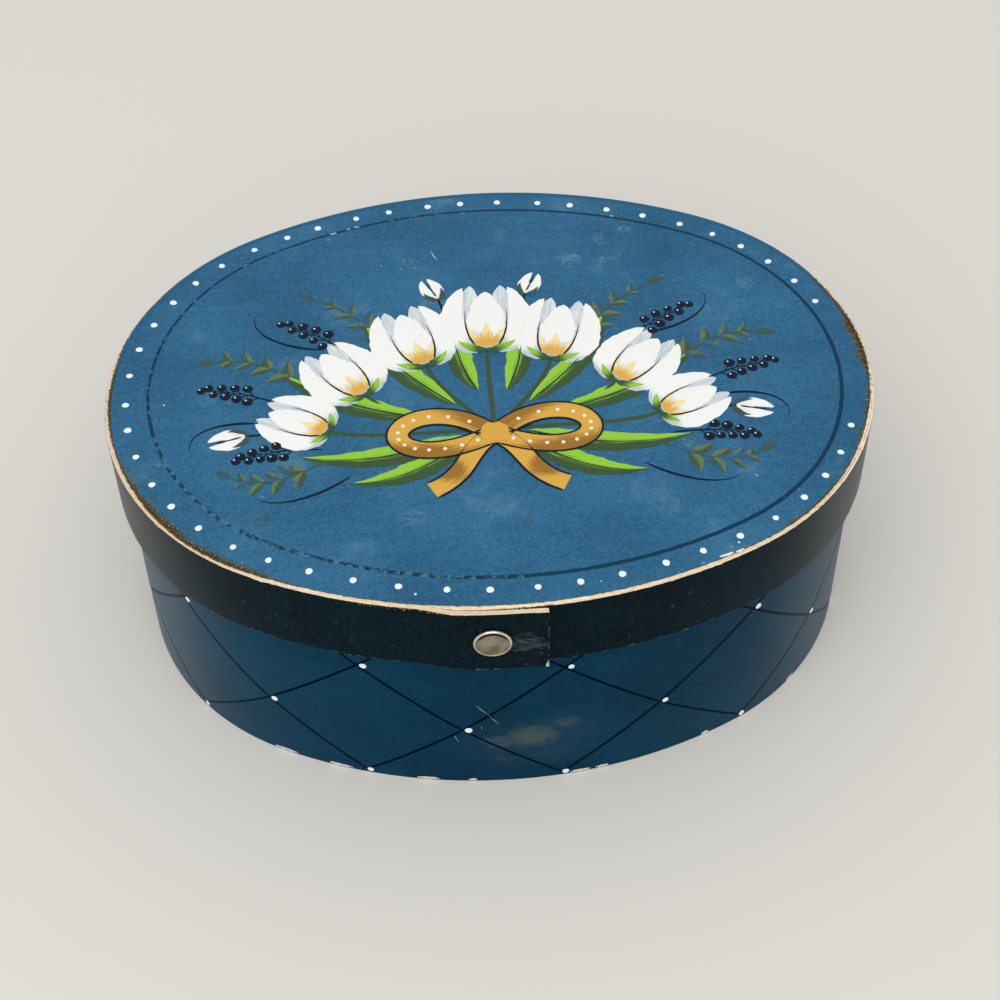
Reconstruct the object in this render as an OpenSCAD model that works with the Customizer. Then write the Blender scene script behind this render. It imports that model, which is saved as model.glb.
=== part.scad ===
// Oval bentwood keepsake box with a lift-off lid.
// Each half is one bent veneer band, lapped on itself and riveted, with a thin oval panel pinned into it.
// The plan is a four-centre oval: two end arcs and two side arcs that meet tangentially,
// so every band and panel follows the same oval, set in by a wall or a clearance.
// Origin at the middle of the base, +X along the oval, -Y to the front (the lid's lap), +Z up.

/* [Lid] */
// Length of the lid over its rim
lid_length = 190; // [176:1:210]
// Width of the lid over its rim
lid_width = 146; // [130:1:160]
// Plan radius of the long sides, at the rim's outer face
side_radius = 130; // [116:1:170]
// Depth of the rim, from the top face down
rim_depth = 20; // [14:0.5:30]
// Thickness of the top panel
top_t = 3; // [2.4:0.1:5]

/* [Box] */
// Height of the closed box
closed_height = 71; // [60:1:100]
// Thickness of the bottom panel
bottom_t = 3; // [2.4:0.1:5]

/* [Bands] */
// Thickness of the bent veneer
band_t = 1.4; // [1:0.1:2]
// Overlap of the lid's rim on itself
rim_lap = 31; // [27:0.5:40]
// How far the rim's outer end lies to the right of the front middle
rim_lap_end = 8.2; // [0:0.1:16]
// Overlap of the box's side band on itself
side_lap = 34; // [29:0.5:42]
// Length over which the covered end of a band is pared away
lap_skive = 11; // [8:0.5:14]
// Thickness at the tip of a pared end
skive_tip = 0.15; // [0.1:0.05:0.4]
// Length of the rim's outer end that has sprung open
spring_length = 8; // [4:0.5:10]
// Gap that the sprung end stands open by
spring_gap = 0.5; // [0:0.1:1]

/* [Rivets] */
// Diameter of a rivet's head
head_d = 9; // [7:0.1:10]
// Height of a rivet's domed head
head_h = 1.5; // [1:0.1:2]
// Height of the straight edge under the dome
head_edge = 0.5; // [0.3:0.1:0.8]
// Diameter of a rivet's shank
shank_d = 3; // [2:0.1:4]
// Diameter of the clenched tail
clench_d = 5; // [4.6:0.1:6]
// Thickness of the clenched tail
clench_t = 0.4; // [0.3:0.05:0.45]
// Distance of the lid's rivet from the rim's outer end
rim_rivet_in = 12.7; // [10:0.1:14]
// Height of the lid's rivet above the rim's lower edge
rim_rivet_up = 10.5; // [6:0.5:13]
// Distance of the box's rivets from the side band's inner end
side_rivet_in = 12; // [10:0.5:14]
// Height of the box's lower rivet above the base
side_rivet_up = 13; // [9:0.5:16]
// Depth of the box's upper rivet below the lid's rim
side_rivet_drop = 14; // [8:0.5:18]

/* [Brads] */
// Diameter of a brad
brad_d = 1; // [0.8:0.1:1.2]
// Length of a brad
brad_length = 9; // [6:0.5:12]
// Length of a brad's point
brad_point = 1.5; // [1:0.1:2]
// Depth of a brad's end under the band's face
brad_set = 0.3; // [0.2:0.05:0.6]
// Brads round each panel
brad_count = 8; // [4:4:12]

/* [Fits] */
// Gap between the lid's rim and the box, on each side
lid_clearance = 0.8; // [0.8:0.1:1.5]
// Glue line between two glued faces
glue_line = 0.1; // [0.05:0.05:0.2]
// Gap between a rivet or a brad and its hole
pin_fit = 0.05; // [0.02:0.01:0.1]
// Gap between a rivet's head or tail and the wood that it is set on
rivet_seat = 0.05; // [0.04:0.01:0.1]

/* [Hidden] */
$fn = 64;

// Steps along a lap, and round the rest of a band
lap_steps = 36;
plain_steps = 168;
// Overshoot of a cutting shape
cut = 1;

// The oval's centres, from its length, its width and the radius of its sides
half_length = lid_length / 2;
half_width = lid_width / 2;
side_offset = side_radius - half_width;
end_radius = (half_length ^ 2 - half_width ^ 2 - 2 * side_offset * half_width)
             / (2 * (half_length - half_width - side_offset));
end_offset = half_length - end_radius;
// Direction, from the long axis, in which an end arc meets a side arc
join_angle = atan2(side_offset, end_offset);

// How far each face lies inside the rim's outer face
box_in = band_t + lid_clearance;
top_panel_in = band_t + glue_line;
bottom_panel_in = box_in + band_t + glue_line;

// Levels
rim_bottom = closed_height - rim_depth;
top_panel_bottom = closed_height - top_t;
top_brad_z = closed_height - top_t / 2;
bottom_brad_z = bottom_t / 2;

// Thickness of both layers of a lap, under a rivet's head
lap_grip = 2 * band_t + glue_line;
// Radius of the sphere that a rivet's dome is part of
dome_h = head_h - head_edge;
dome_radius = ((head_d / 2) ^ 2 + dome_h ^ 2) / (2 * dome_h);

// Directions of the lid's front and of the box's back, where the laps are
front = -90;
back = 90;

// Paint, wood and metal
lid_blue = [0.20, 0.40, 0.55];
box_blue = [0.10, 0.22, 0.33];
rim_black = [0.05, 0.07, 0.08];
bare_wood = [0.80, 0.66, 0.46];
nickel = [0.72, 0.70, 0.64];
steel = [0.55, 0.55, 0.56];

// Angle round a side arc's centre for a length along the rim's outer face
function side_angle(length) = length / side_radius * 180 / PI;

// Point of the oval, set in by inset, whose outward normal has the direction psi
function oval_point(psi, inset) =
    abs(cos(psi)) > cos(join_angle)
    ? [sign(cos(psi)) * end_offset, 0] + (end_radius - inset) * [cos(psi), sin(psi)]
    : [0, -sign(sin(psi)) * side_offset] + (side_radius - inset) * [cos(psi), sin(psi)];

// Points of the oval, for matching lists of directions and insets
function oval_points(psi, inset) = [for (i = [0 : len(psi) - 1]) oval_point(psi[i], inset[i])];

// A list with its items in the other order
function reversed(list) = [for (i = [len(list) - 1 : -1 : 0]) list[i]];

// A list with one value added to each item
function plus(list, value) = [for (item = list) item + value];

// Ease from 0 to 1
function ease(x) = x * x * (3 - 2 * x);

// How far one layer has moved over the other, at each step of a lap from its root:
// by one layer along the pared end, and at the free end by the gap that has sprung open
function lap_rise(lap, gap) =
    [for (i = [0 : lap_steps])
        let (along = lap * i / lap_steps, sprung = max(0, along - lap + spring_length))
        (band_t + glue_line) * ease(min(1, along / lap_skive)) + gap * (sprung / spring_length) ^ 2];

// Directions of the steps along a lap, from its root, and round the rest of the oval
function lap_directions(root, lap) =
    [for (i = [0 : lap_steps]) root + side_angle(lap) * i / lap_steps];
function plain_directions(root, lap) =
    [for (i = [1 : plain_steps]) root + side_angle(lap) + (360 - side_angle(lap)) * i / plain_steps];

// One bent strip, from its pared end once round the oval and on over the lap.
// over is 1 where the last stretch lies outside the first, and -1 where it lies inside.
module bent_strip(inset, root, lap, gap, over, height) {
    rise = lap_rise(lap, gap);
    lap_psi = lap_directions(root, lap);
    // The pared end starts where its tip's thickness is reached
    pared = [for (i = [0 : lap_steps]) if (rise[i] - glue_line >= skive_tip) i];
    pared_t = [for (i = pared) min(band_t, rise[i] - glue_line)];
    pared_psi = [for (i = pared) lap_psi[i]];
    plain_psi = plain_directions(root, lap);
    plain_in = [for (psi = plain_psi) inset];
    over_psi = [for (i = [1 : lap_steps]) lap_psi[i]];
    over_in = [for (i = [1 : lap_steps]) inset - over * rise[i]];
    pared_outer = [for (t = pared_t) over > 0 ? inset + band_t - t : inset];
    pared_inner = [for (t = pared_t) over > 0 ? inset + band_t : inset + t];
    psi = concat(pared_psi, plain_psi, over_psi);
    outer = concat(pared_outer, plain_in, over_in);
    inner = concat(pared_inner, plus(plain_in, band_t), plus(over_in, band_t));
    linear_extrude(height)
        polygon(concat(oval_points(psi, outer), reversed(oval_points(psi, inner))));
}

// Oval panel inside a strip, with a step for the end of a strip that laps inwards by rise
module oval_panel(inset, root, lap, rise, thickness) {
    lap_psi = lap_directions(root, lap + glue_line);
    plain_psi = plain_directions(root, lap + glue_line);
    linear_extrude(thickness)
        polygon(concat(oval_points(lap_psi, plus(rise, inset)),
                       [oval_point(lap_psi[lap_steps], inset)],
                       [for (psi = plain_psi) oval_point(psi, inset)]));
}

// Places its children on the oval, with +Z outwards
module on_oval(psi, inset, up) {
    translate([0, 0, up]) translate(oval_point(psi, inset)) rotate([0, 90, psi]) children();
}

// Domed rivet, its tail clenched: its head outwards along +Z, the face under it at the origin
module rivet() {
    intersection() {
        translate([0, 0, rivet_seat]) cylinder(h = head_h, d = head_d);
        translate([0, 0, rivet_seat + head_h - dome_radius]) sphere(dome_radius);
    }
    translate([0, 0, -lap_grip - rivet_seat]) cylinder(h = lap_grip + 2 * rivet_seat, d = shank_d);
    translate([0, 0, -lap_grip - rivet_seat - clench_t]) cylinder(h = clench_t, d = clench_d);
}

// Hole for a rivet's shank, through both layers of a lap
module rivet_hole() {
    translate([0, 0, -lap_grip - cut]) cylinder(h = lap_grip + 2 * cut, d = shank_d + 2 * pin_fit);
}

// Pointed brad, driven in along -Z from a band's face at the origin
module brad() {
    translate([0, 0, -brad_set - brad_length]) cylinder(h = brad_point, d1 = 0, d2 = brad_d);
    translate([0, 0, -brad_set - brad_length + brad_point])
        cylinder(h = brad_length - brad_point, d = brad_d);
}

// Hole for a brad, from the band's face
module brad_hole() {
    depth = brad_set + brad_length + pin_fit;
    translate([0, 0, -depth]) cylinder(h = depth + cut, d = brad_d + 2 * pin_fit);
}

// Places its children round a band's face, evenly by direction and clear of the laps
module round_band(inset, up) {
    spacing = 360 / brad_count;
    for (i = [0 : brad_count - 1])
        on_oval((i + 0.5) * spacing, inset, up) children();
}

// The rim's outer end lies over its inner end, at the front
rim_root = front + side_angle(rim_lap_end - rim_lap);

module on_rim_rivet() {
    on_oval(front + side_angle(rim_lap_end - rim_rivet_in), -band_t - glue_line,
            rim_bottom + rim_rivet_up) children();
}

module lid_rim_band() {
    color(rim_black) difference() {
        translate([0, 0, rim_bottom]) bent_strip(0, rim_root, rim_lap, spring_gap, 1, rim_depth);
        on_rim_rivet() rivet_hole();
        round_band(0, top_brad_z) brad_hole();
    }
}

module lid_top_panel() {
    no_rise = [for (i = [0 : lap_steps]) 0];
    color(lid_blue) difference() {
        translate([0, 0, top_panel_bottom]) oval_panel(top_panel_in, rim_root, rim_lap, no_rise, top_t);
        round_band(0, top_brad_z) brad_hole();
    }
}

module lid_rivet() {
    color(nickel) on_rim_rivet() rivet();
}

module lid_panel_brads() {
    color(steel) round_band(0, top_brad_z) brad();
}

// The side band's outer end is pared thin over its inner end, at the back, so its outer face is smooth
side_root = back + side_angle(-side_lap / 2);

module on_side_rivets() {
    for (up = [side_rivet_up, rim_bottom - side_rivet_drop])
        on_oval(back + side_angle(side_lap / 2 - side_rivet_in), box_in, up) children();
}

module box_side_band() {
    color(box_blue) difference() {
        bent_strip(box_in, side_root, side_lap, 0, -1, top_panel_bottom);
        on_side_rivets() rivet_hole();
        round_band(box_in, bottom_brad_z) brad_hole();
    }
}

module box_bottom_panel() {
    color(bare_wood) difference() {
        oval_panel(bottom_panel_in, side_root, side_lap, lap_rise(side_lap, 0), bottom_t);
        round_band(box_in, bottom_brad_z) brad_hole();
    }
}

module box_lap_rivets() {
    color(nickel) on_side_rivets() rivet();
}

module bottom_panel_brads() {
    color(steel) round_band(box_in, bottom_brad_z) brad();
}

lid_top_panel();
lid_rim_band();
lid_rivet();
lid_panel_brads();
box_side_band();
box_bottom_panel();
box_lap_rivets();
bottom_panel_brads();
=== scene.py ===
"""Looks of an oval bentwood keepsake box with a lift-off lid.

The bands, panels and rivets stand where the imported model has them. The paint is laid on them as
thin raised brush strokes and dots. Sizes are in millimetres until a mesh is made.
"""

import logging
import math
import random
from collections.abc import Callable, Iterator, Sequence
from contextlib import contextmanager
from dataclasses import dataclass, field
from enum import Enum
from functools import cached_property, reduce

import bpy
from mathutils import Matrix, Vector


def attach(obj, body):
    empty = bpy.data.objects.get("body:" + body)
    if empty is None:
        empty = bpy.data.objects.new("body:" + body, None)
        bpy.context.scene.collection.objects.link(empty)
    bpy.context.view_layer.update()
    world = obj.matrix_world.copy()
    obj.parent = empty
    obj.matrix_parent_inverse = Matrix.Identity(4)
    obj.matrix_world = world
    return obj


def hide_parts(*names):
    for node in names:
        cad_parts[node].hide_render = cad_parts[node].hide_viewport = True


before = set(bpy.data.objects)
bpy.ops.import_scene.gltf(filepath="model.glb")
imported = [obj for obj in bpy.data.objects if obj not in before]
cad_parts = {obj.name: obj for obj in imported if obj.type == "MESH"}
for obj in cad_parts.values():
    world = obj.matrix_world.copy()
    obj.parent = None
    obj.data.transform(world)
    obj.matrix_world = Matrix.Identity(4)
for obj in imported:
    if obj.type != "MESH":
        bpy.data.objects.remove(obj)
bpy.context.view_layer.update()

MM = 0.001
LOG = logging.getLogger("keepsake_box")

LID_TOP = 71.0
SHARP_EDGE = math.radians(50)

Point = tuple[float, float]
Spine = tuple[Point, ...]
Triple = tuple[float, float, float]
Colour = tuple[float, float, float, float]


def srgb(red: float, green: float, blue: float) -> Colour:
    """Gives the linear colour of a screen colour.

    Args:
        red: Red, from 0 to 255.
        green: Green, from 0 to 255.
        blue: Blue, from 0 to 255.

    Returns:
        The linear colour, with an alpha of 1.
    """
    parts = [value / 255 for value in (red, green, blue)]
    linear = [p / 12.92 if p <= 0.04045 else ((p + 0.055) / 1.055) ** 2.4 for p in parts]
    return (linear[0], linear[1], linear[2], 1.0)


def ease(value: float) -> float:
    """Eases a value from 0 to 1, held at both ends."""
    held = min(1.0, max(0.0, value))
    return held * held * (3 - 2 * held)


# Workbench: what is done to a piece with Blender's operators


def deselect() -> None:
    """Leaves edit mode and deselects every object."""
    if bpy.context.mode != "OBJECT":
        bpy.ops.object.mode_set(mode="OBJECT")
    bpy.ops.object.select_all(action="DESELECT")


def take(piece: bpy.types.Object) -> None:
    """Selects one piece alone and makes it the active one."""
    deselect()
    piece.select_set(True)
    bpy.context.view_layer.objects.active = piece


@contextmanager
def editing(piece: bpy.types.Object) -> Iterator[None]:
    """Holds a piece in edit mode with all its faces selected."""
    take(piece)
    bpy.ops.object.mode_set(mode="EDIT")
    bpy.ops.mesh.select_mode(type="FACE")
    bpy.ops.mesh.select_all(action="SELECT")
    yield
    bpy.ops.object.mode_set(mode="OBJECT")


def named(name: str) -> bpy.types.Object:
    """Names the piece that an operator has just added, and its mesh."""
    piece = bpy.context.object
    piece.name = name
    piece.data.name = name
    return piece


def sheet(name: str, columns: int, rows: int) -> bpy.types.Object:
    """Adds a flat unit sheet, from -0.5 to 0.5 both ways.

    Args:
        name: Name of the piece.
        columns: Cells along X.
        rows: Cells along Y.

    Returns:
        The new piece.
    """
    deselect()
    bpy.ops.mesh.primitive_grid_add(x_subdivisions=columns, y_subdivisions=rows, size=1)
    return named(name)


def disc(name: str, points: int, radius: float) -> bpy.types.Object:
    """Adds a flat round face at the origin.

    Args:
        name: Name of the piece.
        points: Corners round it.
        radius: Its radius in millimetres.

    Returns:
        The new piece.
    """
    deselect()
    bpy.ops.mesh.primitive_circle_add(vertices=points, radius=radius * MM, fill_type="NGON")
    return named(name)


def move_points(piece: bpy.types.Object, place: Callable[[Vector], Sequence[float]]) -> None:
    """Moves every point of a piece.

    Args:
        piece: The piece to shape.
        place: Gives a point's new place from its old one.
    """
    for vertex in piece.data.vertices:
        vertex.co = place(vertex.co.copy())
    piece.data.update()


def finish_with(piece: bpy.types.Object, kind: str, **settings: object) -> None:
    """Adds a modifier to a piece and applies it.

    Args:
        piece: The piece to finish.
        kind: The modifier's type.
        **settings: The modifier's settings.
    """
    take(piece)
    modifier = piece.modifiers.new(kind.lower(), kind)
    for name, value in settings.items():
        setattr(modifier, name, value)
    bpy.ops.object.modifier_apply(modifier=modifier.name)


def rounded(piece: bpy.types.Object, radius: float) -> None:
    """Rounds a piece's sharp edges to a radius in millimetres."""
    limits = {"limit_method": "ANGLE", "angle_limit": SHARP_EDGE}
    finish_with(piece, "BEVEL", width=radius * MM, segments=3, **limits)


def two_faced(
    piece: bpy.types.Object,
    paint: bpy.types.Material,
    wood: bpy.types.Material,
    bare: Callable[[Vector], bool],
) -> None:
    """Paints a piece and leaves some of its faces bare.

    Args:
        piece: The piece to paint.
        paint: Material of its painted faces.
        wood: Material of its bare faces.
        bare: Tells from a face's normal whether it is bare.
    """
    piece.data.materials.append(paint)
    piece.data.materials.append(wood)
    for face in piece.data.polygons:
        face.material_index = int(bare(face.normal))


def copied(piece: bpy.types.Object) -> bpy.types.Object:
    """Copies a piece together with its mesh."""
    twin = piece.copy()
    twin.data = piece.data.copy()
    bpy.context.scene.collection.objects.link(twin)
    return twin


def joined(name: str, pieces: Sequence[bpy.types.Object]) -> bpy.types.Object:
    """Joins pieces into one.

    Args:
        name: Name of the joined piece.
        pieces: The pieces; the first takes the others in.

    Returns:
        The joined piece.
    """
    take(pieces[0])
    for piece in pieces[1:]:
        piece.select_set(True)
    if len(pieces) > 1:
        bpy.ops.object.join()
    return named(name)


def smoothed(piece: bpy.types.Object, angle: float = 35.0) -> None:
    """Shades a piece smooth, with edges sharper than an angle kept."""
    take(piece)
    bpy.ops.object.shade_smooth_by_angle(angle=math.radians(angle))


def crisp(piece: bpy.types.Object) -> None:
    """Shades a piece smooth, with broad faces flat right up to their rounded edges."""
    smoothed(piece)
    finish_with(piece, "WEIGHTED_NORMAL", keep_sharp=True)


def marked(piece: bpy.types.Object, name: str, values: Sequence[float]) -> None:
    """Writes one number to each point of a piece, for its material to read."""
    layer = piece.data.attributes.get(name) or piece.data.attributes.new(name, "FLOAT", "POINT")
    layer.data.foreach_set("value", values)


def fitted(piece: bpy.types.Object, body: str, slot: str, *nodes: str) -> None:
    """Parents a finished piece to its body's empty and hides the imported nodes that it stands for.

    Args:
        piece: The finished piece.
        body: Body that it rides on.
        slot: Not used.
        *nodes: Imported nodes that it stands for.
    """
    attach(piece, body)
    if nodes:
        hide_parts(*nodes)
    LOG.info("%s: %d faces, rides on %s", piece.name, len(piece.data.polygons), body)


def dress(node: str, material: bpy.types.Material) -> None:
    """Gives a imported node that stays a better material.

    Args:
        node: Name of the node.
        material: Its material.
    """
    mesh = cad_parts[node].data
    mesh.materials.clear()
    mesh.materials.append(material)
    LOG.info("%s: dressed", node)


# The oval and the places on it


@dataclass(frozen=True)
class Oval:
    """Four-centre oval that every band and panel follows.

    A place on it is a length along the rim's outer face, from the front middle to the right, and an
    inset from that face.
    """

    half_length: float = 95.0
    half_width: float = 73.0
    side_radius: float = 130.0

    @cached_property
    def side_offset(self) -> float:
        """Distance of a side arc's centre from the middle."""
        return self.side_radius - self.half_width

    @cached_property
    def end_radius(self) -> float:
        """Radius of the end arcs."""
        spare = self.half_length**2 - self.half_width**2 - 2 * self.side_offset * self.half_width
        return spare / (2 * (self.half_length - self.half_width - self.side_offset))

    @cached_property
    def end_offset(self) -> float:
        """Distance of an end arc's centre from the middle."""
        return self.half_length - self.end_radius

    @cached_property
    def join(self) -> float:
        """Direction, from the long axis, in which an end arc meets a side arc."""
        return math.atan2(self.side_offset, self.end_offset)

    @cached_property
    def arcs(self) -> list[Triple]:
        """Length, radius and first direction of each arc, from the front middle to the right."""
        half = math.pi / 2 - self.join
        side = half * self.side_radius
        end = 2 * self.join * self.end_radius
        return [
            (side, self.side_radius, -math.pi / 2),
            (end, self.end_radius, -self.join),
            (2 * side, self.side_radius, self.join),
            (end, self.end_radius, math.pi - self.join),
            (side, self.side_radius, 3 * math.pi / 2 - half),
        ]

    @cached_property
    def perimeter(self) -> float:
        """Length round the rim's outer face."""
        return sum(length for length, _, _ in self.arcs)

    def direction(self, along: float) -> float:
        """Gives the outward direction at a length along the oval, in radians."""
        rest = along % self.perimeter
        for length, radius, start in self.arcs:
            if rest <= length:
                return start + rest / radius
            rest -= length
        return -math.pi / 2

    def point(self, along: float, inset: float) -> Point:
        """Gives the plan point at a length along the oval and an inset."""
        psi = self.direction(along)
        radius = self.side_radius
        centre = (0.0, -math.copysign(self.side_offset, math.sin(psi)))
        if abs(math.cos(psi)) > math.cos(self.join):
            radius = self.end_radius
            centre = (math.copysign(self.end_offset, math.cos(psi)), 0.0)
        reach = radius - inset
        return centre[0] + reach * math.cos(psi), centre[1] + reach * math.sin(psi)

    def inset(self, x: float, y: float) -> float:
        """Gives how far a plan point lies inside the rim's outer face."""
        side = math.copysign(self.end_offset, x)
        if abs(x) > self.end_offset and abs(math.atan2(y, abs(x - side))) < self.join:
            return self.end_radius - math.hypot(x - side, y)
        return self.side_radius - math.hypot(x, abs(y) + self.side_offset)


@dataclass(frozen=True)
class Drift:
    """How a measure set by hand drifts on the way round the oval.

    Once, twice and thrice are the shares of cosine and sine for one, two and three waves round it.
    """

    mean: float = 0.0
    once: Point = (0.0, 0.0)
    twice: Point = (0.0, 0.0)
    thrice: Point = (0.0, 0.0)

    def at(self, turn: float) -> float:
        """Gives the measure at an angle round the oval."""
        measure = self.mean
        for waves, (cosine, sine) in enumerate((self.once, self.twice, self.thrice), 1):
            measure += cosine * math.cos(waves * turn) + sine * math.sin(waves * turn)
        return measure


class Surface:
    """A painted surface: it turns a place on the flat pattern into a place on the box."""

    def place(self, u: float, v: float, height: float) -> Triple:
        """Gives the place of a pattern point that stands a height proud of the surface."""
        raise NotImplementedError


@dataclass(frozen=True)
class LidTop(Surface):
    """The lid's flat top, with the pattern's axes along X and Y."""

    level: float

    def place(self, u: float, v: float, height: float) -> Triple:
        """Lifts a point of the pattern to the lid's top."""
        return u, v, self.level + height


@dataclass(frozen=True)
class LidBorder(Surface):
    """The lid's top again, with the pattern's axes along the oval and inwards from its edge."""

    oval: Oval
    level: float

    def place(self, u: float, v: float, height: float) -> Triple:
        """Bends the pattern round the lid's border."""
        x, y = self.oval.point(u, v)
        return x, y, self.level + height


@dataclass(frozen=True)
class BoxSide(Surface):
    """The box's outer face, with the pattern's axes along the oval and upwards."""

    oval: Oval
    inset: float

    def place(self, u: float, v: float, height: float) -> Triple:
        """Bends the pattern round the box's side."""
        x, y = self.oval.point(u, self.inset - height)
        return x, y, v


# Shader maths


class Value:
    """A node's output that can stand in a Python expression."""

    def __init__(self, shader: "Shader", socket: bpy.types.NodeSocket) -> None:
        """Keeps the output and the shader that it belongs to."""
        self.shader = shader
        self.socket = socket

    def math(self, operation: str, first: "Value | float", second: "Value | float") -> "Value":
        """Adds a Math node on two values."""
        return self.shader.node("ShaderNodeMath", {"operation": operation}, {0: first, 1: second})

    def __add__(self, other: "Value | float") -> "Value":
        """Adds."""
        return self.math("ADD", self, other)

    __radd__ = __add__

    def __sub__(self, other: "Value | float") -> "Value":
        """Subtracts."""
        return self.math("SUBTRACT", self, other)

    def __rsub__(self, other: float) -> "Value":
        """Subtracts from a number."""
        return self.math("SUBTRACT", other, self)

    def __mul__(self, other: "Value | float") -> "Value":
        """Multiplies."""
        return self.math("MULTIPLY", self, other)

    __rmul__ = __mul__

    def most(self, other: "Value | float") -> "Value":
        """Takes the higher value."""
        return self.math("MAXIMUM", self, other)

    def size(self) -> "Value":
        """Takes the value without its sign."""
        return self.math("ABSOLUTE", self, 0.0)


class Shader:
    """The node tree of one material."""

    def __init__(self, name: str) -> None:
        """Makes an empty material with one surface shader."""
        self.material = bpy.data.materials.new(name)
        self.material.use_nodes = True
        self.tree = self.material.node_tree
        self.surface = self.tree.nodes["Principled BSDF"]

    def node(
        self,
        kind: str,
        settings: dict[str, object] | None = None,
        sockets: dict[str | int, object] | None = None,
        output: str | int = 0,
    ) -> Value:
        """Adds a node.

        Args:
            kind: The node's type.
            settings: Its settings, which are set first.
            sockets: The values or links of its inputs.
            output: The output that is wanted.

        Returns:
            That output.
        """
        made = self.tree.nodes.new(kind)
        for name, value in (settings or {}).items():
            setattr(made, name, value)
        for name, value in (sockets or {}).items():
            if isinstance(value, Value):
                self.tree.links.new(value.socket, made.inputs[name])
            else:
                made.inputs[name].default_value = value
        return Value(self, made.outputs[output])

    def place(self) -> Value:
        """Gives the place on the object, in millimetres."""
        coordinates = self.node("ShaderNodeTexCoord", output="Object")
        return self.scaled(coordinates, (1 / MM, 1 / MM, 1 / MM))

    def scaled(self, vector: Value, factors: Triple) -> Value:
        """Scales a vector by a factor for each axis."""
        return self.node("ShaderNodeVectorMath", {"operation": "MULTIPLY"}, {0: vector, 1: factors})

    def turned(self, vector: Value, angle: float) -> Value:
        """Turns a vector about Z, by an angle in degrees."""
        turn = (0.0, 0.0, math.radians(angle))
        return self.node("ShaderNodeMapping", sockets={"Vector": vector, "Rotation": turn})

    def axis(self, vector: Value, name: str) -> Value:
        """Gives one axis of a vector."""
        return self.node("ShaderNodeSeparateXYZ", sockets={0: vector}, output=name)

    def joined(self, x: Value | float, y: Value | float, z: Value | float) -> Value:
        """Makes a vector of three values."""
        return self.node("ShaderNodeCombineXYZ", sockets={0: x, 1: y, 2: z})

    def mark(self, name: str) -> Value:
        """Reads a number that was written to the piece's points."""
        return self.node("ShaderNodeAttribute", {"attribute_name": name}, output="Fac")

    def noise(self, vector: Value, scale: float, detail: float = 2.0, rough: float = 0.5) -> Value:
        """Adds a noise texture, from 0 to 1 about 0.5."""
        sockets = {"Vector": vector, "Scale": scale, "Detail": detail, "Roughness": rough}
        return self.node("ShaderNodeTexNoise", sockets=sockets)

    def between(self, value: Value, low: float, high: float) -> Value:
        """Eases from 0 at low to 1 at high, or the other way where low is the higher."""
        settings = {"interpolation_type": "SMOOTHSTEP"}
        return self.node("ShaderNodeMapRange", settings, {0: value, 1: low, 2: high})

    def near(self, vector: Value, spot: Triple, far: float, close: float) -> Value:
        """Eases from 0 at a far distance from a spot to 1 at a close one."""
        settings = {"operation": "DISTANCE"}
        distance = self.node("ShaderNodeVectorMath", settings, {0: vector, 1: spot}, "Value")
        return self.between(distance, far, close)

    def grazing(self) -> Value:
        """Eases from 0 to 1 as the surface turns away from the eye, for its gloss."""
        facing = self.node("ShaderNodeLayerWeight", sockets={"Blend": 0.5}, output="Facing")
        return self.between(facing, 0.42, 0.8)

    def mix(self, factor: Value, first: Value | Colour, second: Value | Colour) -> Value:
        """Mixes two colours."""
        sockets = {0: factor, 6: first, 7: second}
        return self.node("ShaderNodeMix", {"data_type": "RGBA"}, sockets, 2)

    def finish(
        self,
        colour: Value,
        rough: Value,
        height: Value,
        bump: float,
        coat: Value | None = None,
        **constants: float | Colour,
    ) -> bpy.types.Material:
        """Links the surface shader.

        Args:
            colour: Base colour.
            rough: Roughness.
            height: Height of the surface's fine relief, from 0 to 1.
            bump: Depth of that relief in millimetres.
            coat: Weight of the gloss on top.
            **constants: Other inputs of the surface shader, with _ for a space.

        Returns:
            The finished material.
        """
        sockets = {"Height": height, "Distance": bump * MM, "Strength": 1.0}
        relief = self.node("ShaderNodeBump", sockets=sockets)
        links = {"Base Color": colour, "Roughness": rough, "Normal": relief}
        if coat is not None:
            links["Coat Weight"] = coat
        for name, value in links.items():
            self.tree.links.new(value.socket, self.surface.inputs[name])
        for name, constant in constants.items():
            self.surface.inputs[name.replace("_", " ")].default_value = constant
        return self.material


# Finishes

SATIN: dict[str, float | Colour] = {
    "Specular_IOR_Level": 0.02,
    "Coat_Roughness": 0.4,
    "Sheen_Weight": 0.02,
    "Sheen_Roughness": 0.5,
    "Sheen_Tint": (0.3, 0.9, 1.0, 1.0),
}


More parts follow.
